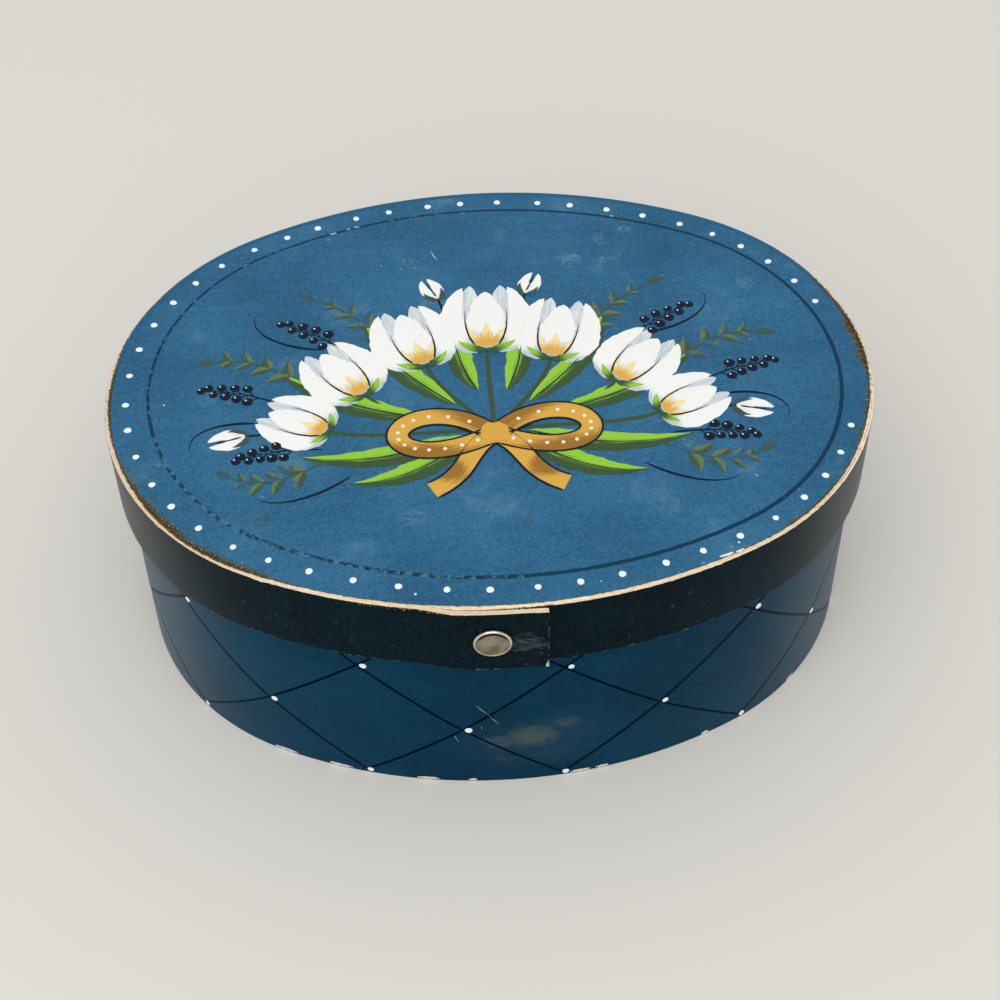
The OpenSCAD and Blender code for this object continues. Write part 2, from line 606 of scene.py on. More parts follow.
@dataclass(frozen=True)
class BareWood:
    """Bare sanded veneer or thin plywood, with its grain along the strip or along X.

    Grain, pores and bands are how fine each is along the wood, across it and through it.
    """

    name: str
    bent: bool = False
    grain: Triple = (0.018, 0.9, 0.9)
    pores: Triple = (0.12, 4.5, 4.5)
    bands: Triple = (0.008, 0.05, 0.05)
    pale: Colour = srgb(222, 192, 146)
    dark: Colour = srgb(184, 144, 96)

    def colours(self, shader: Shader) -> tuple[Value, Value]:
        """Makes the wood's colour and its grain.

        Args:
            shader: The material that it goes in.

        Returns:
            The colour, and the grain from 0 to 1.
        """
        place = shader.place()
        if self.bent:
            along = shader.mark("along")
            place = shader.joined(along, shader.mark("inset"), shader.axis(place, "Z"))
        grain = shader.noise(shader.scaled(place, self.grain), 1.0, 4.0, 0.6)
        pores = shader.noise(shader.scaled(place, self.pores), 1.0, 2.0)
        broad = shader.noise(shader.scaled(place, self.bands), 1.0, 2.0)
        tone = shader.between(grain * 0.55 + pores * 0.2 + broad * 0.25, 0.36, 0.66)
        return shader.mix(tone, self.pale, self.dark), grain * 0.5 + pores * 0.5

    def material(self) -> bpy.types.Material:
        """Makes the material."""
        shader = Shader(self.name)
        colour, grain = self.colours(shader)
        rough = grain * 0.2 + 0.55
        return shader.finish(colour, rough, grain, 0.06, Specular_IOR_Level=0.3)


@dataclass(frozen=True)
class Soil:
    """Old dirt along the lid's worn edge, dark with golden flecks.

    A spot is its place on the lid, how far it reaches, how far it is fullest and how deep it is.
    """

    dark: Colour = srgb(64, 54, 22)
    gold: Colour = srgb(140, 108, 54)
    spots: tuple[tuple[Point, float, float, float], ...] = (
        ((-76.0, -48.0), 44.0, 15.0, 1.12),
        ((93.0, 6.0), 16.0, 6.0, 1.15),
        ((88.0, 25.0), 12.0, 3.0, 0.3),
        ((89.0, -24.0), 20.0, 8.0, 0.85),
        ((72.0, -48.0), 16.0, 7.0, 0.55),
    )

    def depth(self, shader: Shader, place: Value) -> Value:
        """Makes how deep the dirt lies round the edge."""
        depths = []
        for (x, y), far, close, most in self.spots:
            depths.append(shader.near(place, (x, y, LID_TOP), far, close) * most)
        return reduce(Value.most, depths)

    def colour(self, shader: Shader, place: Value) -> Value:
        """Makes the mottled colour."""
        fleck = shader.noise(place, 2.6, 3.0)
        return shader.mix(shader.between(fleck, 0.5, 0.76), self.dark, self.gold)


@dataclass(frozen=True)
class LidBlue:
    """Hand-brushed blue paint of the lid's top, stained along its edge and lightly scuffed.

    A scuff is its place on the lid, how far it reaches and how strong it is. A stain is its place and
    how far it reaches.
    """

    deep: Colour = srgb(33, 87, 122)
    light: Colour = srgb(56, 116, 153)
    scuffed: Colour = srgb(136, 168, 184)
    olive: Colour = srgb(66, 82, 60)
    chipped: Colour = srgb(206, 200, 176)
    scuffs: tuple[tuple[Point, float, float], ...] = (
        ((24.0, 44.0), 8.0, 0.36),
        ((32.7, 51.4), 5.5, 0.42),
        ((39.6, 55.0), 6.0, 0.36),
        ((68.4, 30.4), 5.5, 0.4),
        ((5.8, 55.0), 5.5, 0.32),
        ((-19.4, 46.1), 7.0, 0.18),
        ((-25.7, -30.4), 7.0, 0.28),
        ((-20.1, -43.6), 8.0, 0.26),
        ((45.6, -24.8), 6.0, 0.32),
    )
    stains: tuple[tuple[Point, float], ...] = (((-56.7, -42.5), 4.5), ((5.6, -47.6), 3.6))

    def material(self) -> bpy.types.Material:
        """Makes the material."""
        shader = Shader("lid_blue_paint")
        place = shader.place()
        broad = shader.noise(place, 0.03, 3.0)
        grain = shader.noise(place, 1.4, 4.0, 0.75)
        drag = shader.noise(shader.scaled(place, (0.06, 0.4, 0.3)), 1.0, 3.0)
        tone = shader.between(broad * 0.3 + grain * 0.6 + drag * 0.1, 0.36, 0.64)
        colour = shader.mix(tone, self.deep, self.light)
        colour = self.scuff(shader, place, colour, grain)
        colour = self.stained(shader, place, colour)
        rough = grain * 0.18 + 0.46
        return shader.finish(colour, rough, grain, 0.04, Specular_IOR_Level=0.15)

    def scuff(self, shader: Shader, place: Value, colour: Value, grain: Value) -> Value:
        """Rubs faint streaks, clouds, dust and the placed scuffs and stains on the paint."""
        across = shader.scaled(shader.turned(place, 38), (0.08, 0.5, 0.1))
        streak = shader.between(shader.noise(across, 1.0, 5.0, 0.7), 0.62, 0.8) * 0.1
        cloud = shader.between(shader.noise(place, 0.06, 6.0, 0.7), 0.56, 0.73) * 0.2
        speck = shader.noise(place, 0.5, 1.0) * 0.9 + grain * 0.1
        dust = shader.between(shader.noise(place, 1.7, 2.0), 0.68, 0.78)
        dusty = shader.between(shader.noise(place, 0.12, 2.0), 0.48, 0.64)
        scuff = streak + cloud + shader.between(speck, 0.74, 0.8) * 0.5 + dust * dusty * 0.5
        brushed = shader.scaled(shader.turned(place, 25), (0.28, 0.6, 0.6))
        mottle = shader.noise(brushed, 1.0, 6.0, 0.8)
        grainy = shader.between(grain, 0.38, 0.56)
        for (x, y), reach, most in self.scuffs:
            rubbed = shader.near(place, (x, y, LID_TOP), reach, 0.5) * 0.5 + mottle
            scuff = scuff.most(shader.between(rubbed, 0.76, 1.16) * grainy * most)
        colour = shader.mix(scuff, colour, self.scuffed)
        for (x, y), reach in self.stains:
            stain = shader.near(place, (x, y, LID_TOP), reach, 0.5) * 0.5 + mottle
            colour = shader.mix(shader.between(stain, 0.76, 1.1) * 0.4, colour, self.olive)
        return colour

    def stained(self, shader: Shader, place: Value, colour: Value) -> Value:
        """Soils the paint beside the worn edge, most at the front left and the back right."""
        wander = shader.noise(place, 0.16, 3.0, 0.6)
        bristle = shader.noise(place, 2.2, 4.0, 0.7)
        soil = Soil()
        ragged = bristle * 3.0 + wander * 3.2
        reach = shader.mark("inset") + ragged - soil.depth(shader, place) * 2.1
        colour = shader.mix(shader.between(reach, 4.3, 2.7) * 0.7, colour, self.olive)
        colour = shader.mix(shader.between(reach, 3.2, 2.5) * 0.95, colour, soil.colour(shader, place))
        fleck = shader.noise(place, 1.9, 2.0)
        flecked = shader.between(fleck, 0.6, 0.68) * shader.between(reach, 4.0, 3.3) * 0.4
        return shader.mix(flecked, colour, self.chipped)


@dataclass(frozen=True)
class RimBlack:
    """Near-black paint of the lid's rim, worn through to the wood along its top edge.

    Top, bottom and end are where the rim's edges and its free end lie. The frayed spot is on the top
    edge, where the lap begins. The rubbed spot is beside the rivet, with its height times the squeeze.
    """

    top: float
    bottom: float
    end: float
    frayed: Triple = (-25.0, -70.5, LID_TOP)
    rubbed: Triple = (3.6, -74.5, 78.5)
    squeeze: float = 1.3
    black: Colour = srgb(0, 12, 19)
    brown: Colour = srgb(8, 31, 42)
    scuffed: Colour = srgb(98, 108, 106)
    fleck: Colour = srgb(58, 78, 88)
    blue: Colour = srgb(44, 100, 136)
    dirt: Colour = srgb(92, 64, 30)
    arris: Colour = srgb(30, 20, 10)
    smear: Colour = srgb(98, 110, 114)
    pale: Colour = srgb(255, 246, 226)
    tan: Colour = srgb(236, 210, 172)
    amber: Colour = srgb(216, 186, 138)
    chalk: Colour = srgb(216, 221, 214)

    def material(self) -> bpy.types.Material:
        """Makes the material."""
        shader = Shader("rim_black_paint")
        place = shader.place()
        fine = shader.noise(place, 1.6, 4.0, 0.75)
        ragged = shader.noise(place, 0.8, 4.0, 0.65)
        colour = self.painted(shader, place, fine)
        wood, grain = BareWood("", bent=True, pale=self.pale, dark=self.tan).colours(shader)
        inset = shader.mark("inset")
        level = shader.axis(place, "Z")
        chipped = shader.between(shader.noise(place, 0.14, 3.0, 0.6), 0.56, 0.74)
        rise = level + ragged * 0.6 + chipped * 0.5
        fraying = shader.near(place, self.frayed, 17.0, 5.0)
        torn = rise + fraying * shader.between(fine, 0.4, 0.6) * 0.7
        brim = shader.between(torn, self.top - 0.1, self.top + 0.2) * shader.between(inset, 0.7, 0.4)
        splinters = shader.noise(shader.scaled(place, (0.7, 0.7, 2.0)), 1.3, 3.0, 0.7)
        splinters = fraying * shader.between(splinters, 0.54, 0.62)
        splintered = shader.mix(splinters * 0.9, self.arris, self.amber)
        colour = shader.mix(brim * 0.9, colour, splintered)
        along = shader.mark("along") + fine * 0.3
        corner = shader.between(level + ragged * 2.0, self.bottom + 4.2, self.bottom + 2.0)
        free = shader.between(along + corner * 0.6, self.end - 0.02, self.end + 0.1)
        free = free * shader.between(ragged, 0.52, 0.62).most(corner)
        colour = shader.mix(free * (corner * 0.4 + 0.35), colour, self.chalk)
        flat = shader.between(level, self.top - 0.05, self.top - 0.02)
        inner = shader.between(inset, 0.7, 0.9) * shader.between(level, self.top - 1.0, self.top - 0.5)
        bared = shader.between(rise, self.top + 0.24, self.top + 0.34).most(flat).most(inner)
        colour = shader.mix(bared, colour, self.edge(shader, place, wood, ragged))
        relief = fine * 0.6 + ragged * 0.2 + grain * 0.2
        gloss = shader.grazing() * 0.5
        rough = fine * 0.16 + 0.3
        return shader.finish(colour, rough, relief, 0.07, gloss, **SATIN)

    def painted(self, shader: Shader, place: Value, fine: Value) -> Value:
        """Makes the black paint, scuffed beside the rivet and flecked along its lower edge."""
        broad = shader.noise(place, 0.08, 3.0)
        tone = shader.between(broad * 0.2 + fine * 0.8, 0.42, 0.62)
        colour = shader.mix(tone, self.black, self.brown)
        scratch = shader.noise(shader.scaled(place, (0.45, 0.45, 0.8)), 1.0, 6.0, 0.75)
        squeezed = shader.scaled(place, (1.0, 1.0, self.squeeze))
        spot = shader.near(squeezed, self.rubbed, 8.0, 1.0)
        scuff = shader.between(scratch * 0.85 + spot * 0.27, 0.55, 0.8) * 0.5
        sparse = shader.between(shader.noise(place, 0.42, 4.0, 0.7), 0.64, 0.74) * 0.3
        colour = shader.mix(sparse, shader.mix(scuff, colour, self.scuffed), self.smear)
        speck = shader.noise(place, 3.2, 2.0)
        colour = shader.mix(shader.between(speck, 0.55, 0.75) * 0.2, colour, self.fleck)
        low = shader.axis(place, "Z") - self.bottom
        patch = shader.noise(place, 0.75, 4.0, 0.6)
        colour = shader.mix(shader.between(low + patch * 3.0, 1.65, 1.35) * 0.75, colour, self.fleck)
        return shader.mix(shader.between(low + patch * 3.4, 1.45, 1.2) * 0.8, colour, self.smear)

    def edge(self, shader: Shader, place: Value, wood: Value, ragged: Value) -> Value:
        """Makes the top edge: bare in front, half painted at the ends and painted at the back."""
        inset = shader.mark("inset")
        back = shader.axis(place, "Y")
        across = shader.axis(place, "X")
        left = shader.between(across, -62.0, -86.0) * shader.between(back, 26.0, 6.0)
        right = shader.between(across, 62.0, 86.0) * shader.between(back, 38.0, 26.0)
        ends = (left * 0.9).most(right * 0.78) * shader.between(back, -50.0, -14.0)
        rubbed = shader.between(across, -44.0, -74.0)
        front = shader.between(back, 6.0, -32.0) * (1 - rubbed * 0.45)
        soil = Soil()
        worn = soil.depth(shader, place)
        kept = shader.between(across, 40.0, 75.0) * shader.between(back, 0.0, -20.0) * 0.22
        kept = kept + shader.between(back, 38.0, 50.0) * 0.2
        ragged_edge = ragged * (1.1 - front * 0.2) + worn * 0.06
        depth = inset + ragged_edge + kept - front * 1.0 - ends * 0.6
        spotted = shader.noise(place, 1.4, 4.0, 0.7)
        gaping = shader.between(across, -7.0, 4.0) * shader.between(spotted, 0.4, 0.56) * 0.24
        opened = shader.between(across, -14.0, 0.0) * shader.between(across, 10.5, 8.5)
        seam = shader.between(inset.size() - gaping, 0.22, 0.08) * opened * 0.9
        grained = shader.scaled(shader.joined(shader.mark("along"), inset, 0.0), (0.45, 1.7, 1.0))
        mottled = shader.between(shader.noise(grained, 1.0, 4.0, 0.75), 0.44, 0.66) * 0.85
        soiled = shader.between(spotted - front * 0.1, 0.54, 0.64) * 0.8
        ply = shader.between((inset - 0.55).size(), 0.2, 0.05) * right
        ply = ply * shader.between(ragged, 0.4, 0.55)
        lapped = shader.between(inset, -0.1, -0.4)
        colour = shader.mix((rubbed * 0.55).most(lapped * 0.5).most(mottled), wood, self.amber)
        colour = shader.mix(seam.most(soiled).most(ply * 0.5), colour, self.dirt)
        colour = shader.mix(shader.between(depth, 0.5, 0.75) * 0.9, colour, self.dirt)
        zone = shader.between(worn, 0.1, 0.5).most(ends)
        soiled = shader.between(spotted + zone * 0.3, 0.58, 0.68) * zone
        brushed = shader.mix(soiled * 0.9, self.blue, soil.colour(shader, place))
        return shader.mix(shader.between(depth, 0.8, 0.95), colour, brushed)


@dataclass(frozen=True)
class SideBlue:
    """Dark blue paint of the box's side, brushed up to under the lid and chipped at the base.

    A chip is its place along the base and half its length. A lobe of the rubbed cloud is its place
    across the front and its height, how far it reaches and how strong it is. The cloud is drawn out
    sideways by the squeeze, and its haze is at one spot.
    """

    paint_edge: float
    perimeter: float
    deep: Colour = srgb(0, 40, 61)
    light: Colour = srgb(8, 61, 87)
    scuffed: Colour = srgb(84, 97, 88)
    haze: Colour = srgb(66, 70, 88)
    chalk: Colour = srgb(224, 222, 215)
    # Colour of the painted contact shadow along the base, partly dirt on the lower arris.
    foot: Colour = srgb(4, 18, 26)
    chips: tuple[Point, ...] = (
        (-60.0, 4.6),
        (-45.0, 4.4),
        (-21.5, 4.0),
        (-10.2, 1.4),
        (17.2, 3.4),
        (23.2, 2.2),
        (52.0, 1.6),
        (82.0, 2.0),
    )
    lobes: tuple[tuple[Point, float, float], ...] = (
        ((4.7, 18.0), 10.0, 1.05),
        ((13.0, 22.5), 6.5, 0.8),
        ((-3.0, 16.5), 7.5, 0.85),
        ((-3.5, 10.5), 6.0, 0.66),
    )
    squeeze: float = 0.62
    haze_spot: Triple = (3.0, 0.0, 15.5)

    def material(self) -> bpy.types.Material:
        """Makes the material."""
        shader = Shader("side_blue_paint")
        place = shader.place()
        level = shader.axis(place, "Z")
        wood, grain = BareWood("", bent=True).colours(shader)
        fine = shader.noise(place, 1.5, 4.0, 0.75)
        broad = shader.noise(place, 0.04, 3.0)
        along = shader.joined(shader.mark("along"), 0.0, level)
        drag = shader.noise(shader.scaled(along, (0.05, 1.0, 0.4)), 1.0, 3.0)
        # Painted light: the tone is raised towards the left end of the side, lightest at its far left.
        painted_light = shader.between(shader.axis(place, "X"), 0.0, -80.0) * 0.1
        tone = shader.between(broad * 0.3 + fine * 0.6 + drag * 0.1 + painted_light, 0.38, 0.64)
        colour = shader.mix(tone, self.deep, self.light)
        colour = self.scuff(shader, place, colour)
        ragged = shader.noise(place, 0.6, 4.0, 0.65)
        # Painted shadow: a thin dark line along the base where the side meets the floor, partly dirt on
        # the lower arris.
        foot = shader.between(level + ragged * 0.6, 0.68, 0.4)
        torn = shader.noise(place, 1.0, 5.0, 0.75)
        chips = shader.between(level - ragged * 5.0, -3.0, -3.3)
        for middle, reach in self.chips:
            spot = ((middle + self.perimeter) / reach, 0.0, 1.0)
            near = shader.near(shader.scaled(along, (1 / reach, 1.0, 1.6)), spot, 1.3, 0.2)
            chips = chips.most(shader.between(near * 0.7 + torn * 1.4, 1.06, 1.14))
        brushed = shader.noise(shader.scaled(along, (0.22, 1.0, 0.0)), 1.0, 3.0, 0.6)
        bare = shader.between(level - brushed * 5.0, self.paint_edge - 2.6, self.paint_edge - 2.2)
        colour = shader.mix(foot * 0.85, shader.mix(bare, colour, wood), self.foot)
        colour = shader.mix(chips * (1 - foot), colour, self.chalk)
        relief = fine * 0.6 + drag * 0.2 + grain * 0.2
        rough = fine * 0.16 + bare * 0.25 + 0.3
        gloss = shader.grazing() * 0.5
        return shader.finish(colour, rough, relief, 0.07, gloss, **SATIN)

    def scuff(self, shader: Shader, place: Value, colour: Value) -> Value:
        """Rubs a mottled cloud on the front and faint marks elsewhere."""
        cloud = shader.noise(place, 0.3, 6.0, 0.75)
        tilt = (0.0, 0.2, 0.0)
        tilted = shader.node("ShaderNodeMapping", sockets={"Vector": place, "Rotation": tilt})
        streak = shader.noise(shader.scaled(tilted, (0.35, 0.5, 1.1)), 1.0, 6.0, 0.75)
        grainy = shader.noise(place, 1.3, 5.0, 0.8)
        squeezed = shader.scaled(place, (self.squeeze, 0.0, 1.0))
        front = shader.between(shader.axis(place, "Y"), 0.0, -30.0)
        lobes = []
        for (x, z), far, most in self.lobes:
            lobes.append(shader.near(squeezed, (x * self.squeeze, 0.0, z), far, 0.5) * most)
        spot = reduce(Value.most, lobes) * front
        haze = shader.near(squeezed, self.haze_spot, 14.0, 4.0) * front
        blurred = shader.between(streak * 0.5 + cloud * 0.5, 0.4, 0.62)
        colour = shader.mix(haze * blurred * 0.35, colour, self.haze)
        rubbed = streak * 0.35 + cloud * 0.25 + grainy * 0.6 + spot * 0.72
        rubbed = shader.between(rubbed, 0.98, 1.4) * 0.64
        faint = shader.between(cloud, 0.7, 0.84) * 0.3
        return shader.mix(rubbed.most(faint), colour, self.scuffed)


@dataclass(frozen=True)
class BrushPaint:
    """Paint of one brush colour, streaked along the stroke and worn back to the ground below it.

    Its colours are screen colours, from 0 to 255. Left wear is added on the left half of the box and
    front wear on its front part, where the paint has been rubbed most.
    """

    name: str
    main: Triple
    second: Triple
    ground: Triple
    wear: float = 0.0
    left_wear: float = 0.0
    front_wear: float = 0.0
    gloss: float = 0.2
    patch: float = 0.55
    sheen: float = 0.0

    def material(self) -> bpy.types.Material:
        """Makes the material."""
        shader = Shader(self.name)
        place = shader.place()
        stroke = shader.node("ShaderNodeUVMap", {"uv_map": "UVMap"})
        hairs = shader.noise(shader.scaled(stroke, (0.12, 2.2, 1.0)), 1.0, 3.0, 0.6)
        fine = shader.noise(place, 1.8, 3.0, 0.6)
        tone = shader.between(shader.mark("tone") + hairs * 0.9 - 0.45, 0.28, 0.72)
        colour = shader.mix(tone, srgb(*self.main), srgb(*self.second))
        patchy = shader.noise(place, self.patch, 5.0, 0.7)
        front = shader.between(shader.axis(place, "Y"), 10.0, -30.0) * self.front_wear
        rubbed = shader.between(shader.axis(place, "X"), 30.0, -15.0) * (front + self.left_wear)
        worn = patchy + hairs * 0.3 + rubbed
        thin = shader.between(worn, 0.92 - self.wear * 0.4, 1.0 - self.wear * 0.3)
        colour = shader.mix(thin, colour, srgb(*self.ground))
        relief = hairs * 0.75 + fine * 0.25
        rough = fine * 0.15 + 0.42
        coat = shader.grazing() * self.sheen
        constants = {"Specular_IOR_Level": self.gloss, "Coat_Roughness": 0.4}
        return shader.finish(colour, rough, relief, 0.05, coat, **constants)


@dataclass(frozen=True)
class Metal:
    """Plated or drawn metal, dull on a rivet's face and bright on its rolled edge.

    A painted shade lies in the groove inside the edge, most of it in the upper part, and a painted
    highlight lies on the rolled edge, brightest towards the top.
    """

    name: str
    rough: float
    edge_highlight: Colour = srgb(228, 222, 206)
    dull: Colour = srgb(111, 103, 77)
    groove_shade: Colour = srgb(34, 31, 24)

    def material(self) -> bpy.types.Material:
        """Makes the material."""
        shader = Shader(self.name)
        place = shader.place()
        cloud = shader.noise(place, 0.35, 3.0, 0.5)
        fine = shader.noise(place, 4.0, 3.0)
        ring = shader.mark("ring")
        mottle = shader.between(cloud * 0.7 + fine * 0.3, 0.35, 0.65) * 0.3
        # Painted highlight: the rolled edge takes the bright colour, strongest towards the top.
        edge = shader.between(ring, 3.9, 4.1)
        up = shader.mark("up")
        painted_light = shader.between(up + cloud * 2.0, 1.0, 4.6) * 0.35 + 0.6
        colour = shader.mix(edge * painted_light + mottle, self.dull, self.edge_highlight)
        # Painted shade: the groove inside the edge is darkened, most of it in the upper part.
        groove = shader.between(ring + up * 0.13 + cloud * 0.2, 3.4, 3.8)
        groove = groove * shader.between(ring, 4.1, 3.95)
        upper = shader.between(up, 0.6, 2.4)
        colour = shader.mix(groove * (upper * 0.9 + 0.1), colour, self.groove_shade)
        rough = cloud * 0.12 + fine * 0.08 + self.rough - edge * 0.08
        return shader.finish(colour, rough, fine, 0.004, Metallic=1.0)


# Bands, panels and rivets


@dataclass
class Strip:
    """One bent veneer strip, from its pared end once round the oval and on over the lap."""

    oval: Oval
    name: str
    inset: float
    low: float
    high: float
    root: float
    lap: float
    outward: bool
    gap: float = 0.0
    thickness: float = 1.4
    skive: float = 11.0
    tip: float = 0.15
    glue: float = 0.03
    spring: float = 8.0
    edge_radius: float = 0.14
    uneven: float = 0.0
    steps: int = 210
    lap_steps: int = 40
    over_steps: int = 48
    rows: int = 6

    def rise(self, run: float) -> float:
        """Gives how far one layer has moved over the other, at a run from the lap's root."""
        sprung = max(0.0, run - self.lap + self.spring) / self.spring
        return (self.thickness + self.glue) * ease(run / self.skive) + self.gap * sprung**2

    def stations(self) -> list[float]:
        """Gives the runs along the strip at which it has a row of points."""
        around = self.oval.perimeter
        first = next(i / 20 for i in range(1000) if self.rise(i / 20) - self.glue >= self.tip)
        lap = [first + (self.lap - first) * i / self.lap_steps for i in range(self.lap_steps)]
        rest = [self.lap + (around - self.lap) * i / self.steps for i in range(self.steps)]
        over = [around + self.lap * i / self.over_steps for i in range(self.over_steps + 1)]
        return lap + rest + over

    def depth(self, run: float, flat: float) -> float:
        """Gives the depth of a point behind the strip's nominal face.

        Args:
            run: Its run along the strip.
            flat: Its depth in the flat strip.

        Returns:
            Its depth once the end is pared and the lap is made.
        """
        if run < self.lap:
            left = min(self.thickness, self.rise(run) - self.glue)
            pared = self.thickness - left if self.outward else 0.0
            return pared + flat * left / self.thickness
        over = self.rise(run - self.oval.perimeter) if run > self.oval.perimeter else 0.0
        return flat - over if self.outward else flat + over

    def build(self, paint: bpy.types.Material, wood: bpy.types.Material) -> bpy.types.Object:
        """Makes the strip flat, rounds its edges and bends it round the oval.

        Args:
            paint: Material of its outer face and edges.
            wood: Material of its inner face.

        Returns:
            The bent strip.
        """
        runs = self.stations()
        last = len(runs) - 1
        piece = sheet(self.name, last, self.rows)

        def laid(point: Vector) -> Triple:
            """Lays a sheet point at its station and height."""
            run = runs[round((point.x + 0.5) * last)]
            height = self.low + (point.y + 0.5) * (self.high - self.low)
            if point.y < -0.49:
                slow = math.sin(run * 0.31) * math.sin(run * 0.077)
                quick = math.sin(run * 1.13 + 2 * math.sin(run * 0.37)) * math.sin(run * 0.19)
                height += self.uneven * (1.4 * slow + 0.8 * quick)
            return run * MM, 0.0, height * MM

        move_points(piece, laid)
        finish_with(piece, "SOLIDIFY", thickness=self.thickness * MM, offset=-1.0)
        rounded(piece, self.edge_radius)
        two_faced(piece, paint, wood, lambda normal: normal.y > 0.97)
        along = [self.root + vertex.co.x / MM for vertex in piece.data.vertices]

        def bent(point: Vector) -> Triple:
            """Bends a point of the flat strip round the oval."""
            run = point.x / MM
            x, y = self.oval.point(self.root + run, self.inset + self.depth(run, point.y / MM))
            return x * MM, y * MM, point.z

        move_points(piece, bent)
        inset = [self.oval.inset(v.co.x / MM, v.co.y / MM) for v in piece.data.vertices]
        marked(piece, "along", along)
        marked(piece, "inset", inset)
        crisp(piece)
        return piece


@dataclass
class Panel:
    """A thin oval panel with a slightly rounded edge."""

    oval: Oval
    name: str
    inset: float
    low: float
    high: float
    edge_radius: float = 0.08
    points: int = 320
    rings: tuple[float, ...] = (1.0, 1.0, 1.5, 1.5, 2.0, 3.0, 4.0)

    def build(self, paint: bpy.types.Material, wood: bpy.types.Material) -> bpy.types.Object:
        """Makes the panel.

        Args:
            paint: Material of its top and edge.
            wood: Material of its underside.

        Returns:
            The panel.
        """
        piece = disc(self.name, self.points, 1.0)

        def laid(point: Vector) -> Triple:
            """Moves a point of the disc to the oval."""
            turn = (math.atan2(point.y, point.x) + math.pi / 2) / (2 * math.pi)
            x, y = self.oval.point(turn % 1.0 * self.oval.perimeter, self.inset)
            return x * MM, y * MM, self.high * MM

        move_points(piece, laid)
        with editing(piece):
            for ring in self.rings:
                bpy.ops.mesh.inset(thickness=ring * MM)
        finish_with(piece, "SOLIDIFY", thickness=(self.high - self.low) * MM, offset=-1.0)
        rounded(piece, self.edge_radius)
        two_faced(piece, paint, wood, lambda normal: normal.z < -0.5)
        inset = [self.oval.inset(v.co.x / MM, v.co.y / MM) for v in piece.data.vertices]
        marked(piece, "inset", inset)
        crisp(piece)
        return piece


@dataclass
class Rivet:
    """A cap rivet: clenched tail, shank, and a head with a rolled edge and a shallow dome.

    Each part is its rings from the wood outwards, as radius and height.
    """

    oval: Oval
    grip: float = 2.9
    points: int = 48
    soft_angle: float = 50.0
    tail: tuple[Point, ...] = ((1.9, -0.4), (2.3, -0.34), (2.5, -0.2), (2.5, -0.05), (1.5, 0.0))
    seat: tuple[Point, ...] = ((1.5, 0.04), (4.42, 0.05), (4.5, 0.15), (4.5, 0.48))
    edge: tuple[Point, ...] = ((4.47, 0.66), (4.4, 0.82), (4.3, 0.93), (4.18, 0.98), (4.06, 0.95))
    groove: tuple[Point, ...] = ((3.97, 0.88), (3.88, 0.81), (3.75, 0.78), (3.5, 0.79))
    dome: tuple[Point, ...] = ((3.1, 0.83), (2.6, 0.88), (2.0, 0.95), (1.4, 1.0), (0.7, 1.03))

    def build(self, name: str, along: float, inset: float, level: float) -> bpy.types.Object:
        """Makes a rivet and sets it in the wood.

        Args:
            name: Name of the piece.
            along: Its place along the oval.
            inset: Inset of the face under its head.
            level: Its height.

        Returns:
            The rivet.
        """
        rings = [(radius, height - self.grip) for radius, height in self.tail]
        rings += self.seat + self.edge + self.groove + self.dome
        radius, height = rings[0]
        piece = disc(name, self.points, radius)
        move_points(piece, lambda point: (point.x, point.y, height * MM))
        with editing(piece):
            for next_radius, next_height in rings[1:]:
                step = (0.0, 0.0, (next_height - height) * MM)
                bpy.ops.mesh.extrude_region_move(TRANSFORM_OT_translate={"value": step})
                factor = next_radius / radius
                centre = (0.0, 0.0, next_height * MM)
                bpy.ops.transform.resize(value=(factor, factor, 1.0), center_override=centre)
                radius, height = next_radius, next_height
            bpy.ops.mesh.select_all(action="SELECT")
            bpy.ops.mesh.normals_make_consistent(inside=False)
        marked(piece, "ring", [math.hypot(v.co.x, v.co.y) / MM for v in piece.data.vertices])
        marked(piece, "up", [v.co.y / MM for v in piece.data.vertices])
        psi = self.oval.direction(along)
        x, y = self.oval.point(along, inset)
        out = Vector((math.cos(psi), math.sin(psi), 0.0))
        right = Vector((-out.y, out.x, 0.0))
        turn = Matrix((right, Vector((0.0, 0.0, 1.0)), out)).transposed().to_4x4()
        piece.data.transform(Matrix.Translation(Vector((x, y, level)) * MM) @ turn)
        smoothed(piece, self.soft_angle)
        return piece


# Brush work


class Profile(Enum):
    """How wide a stroke is along its length."""

    LEAF = "pointed at both ends"
    PETAL = "full below the middle, with a soft point"
    ROUND = "full and rounded at both ends"
    COMMA = "round head and a drawn-out tail"
    LINE = "even, with tapered ends"
    BAND = "even, with square ends"

    def width(self, t: float) -> float:
        """Gives the share of the full width at t, from 0 to 1 along the stroke."""
        if self is Profile.LEAF:
            return math.sin(math.pi * t**0.8) ** 0.9
        if self is Profile.PETAL:
            return math.sin(math.pi * t**0.72) ** 0.6
        if self is Profile.ROUND:
            return math.sqrt(max(0.0, 1 - (2 * t - 1) ** 4))
        if self is Profile.COMMA:
            head = math.sqrt(max(0.0, 1 - (1 - min(1.0, t / 0.22)) ** 2))
            return head * (1 - max(0.0, t - 0.22) / 0.78) ** 0.85
        if self is Profile.LINE:
            return min(1.0, math.sqrt(min(t, 1 - t) / 0.04))
        return 1.0


def flat_tone(t: float, across: float) -> float:
    """Keeps to the main colour all over a stroke."""
    return 0.0


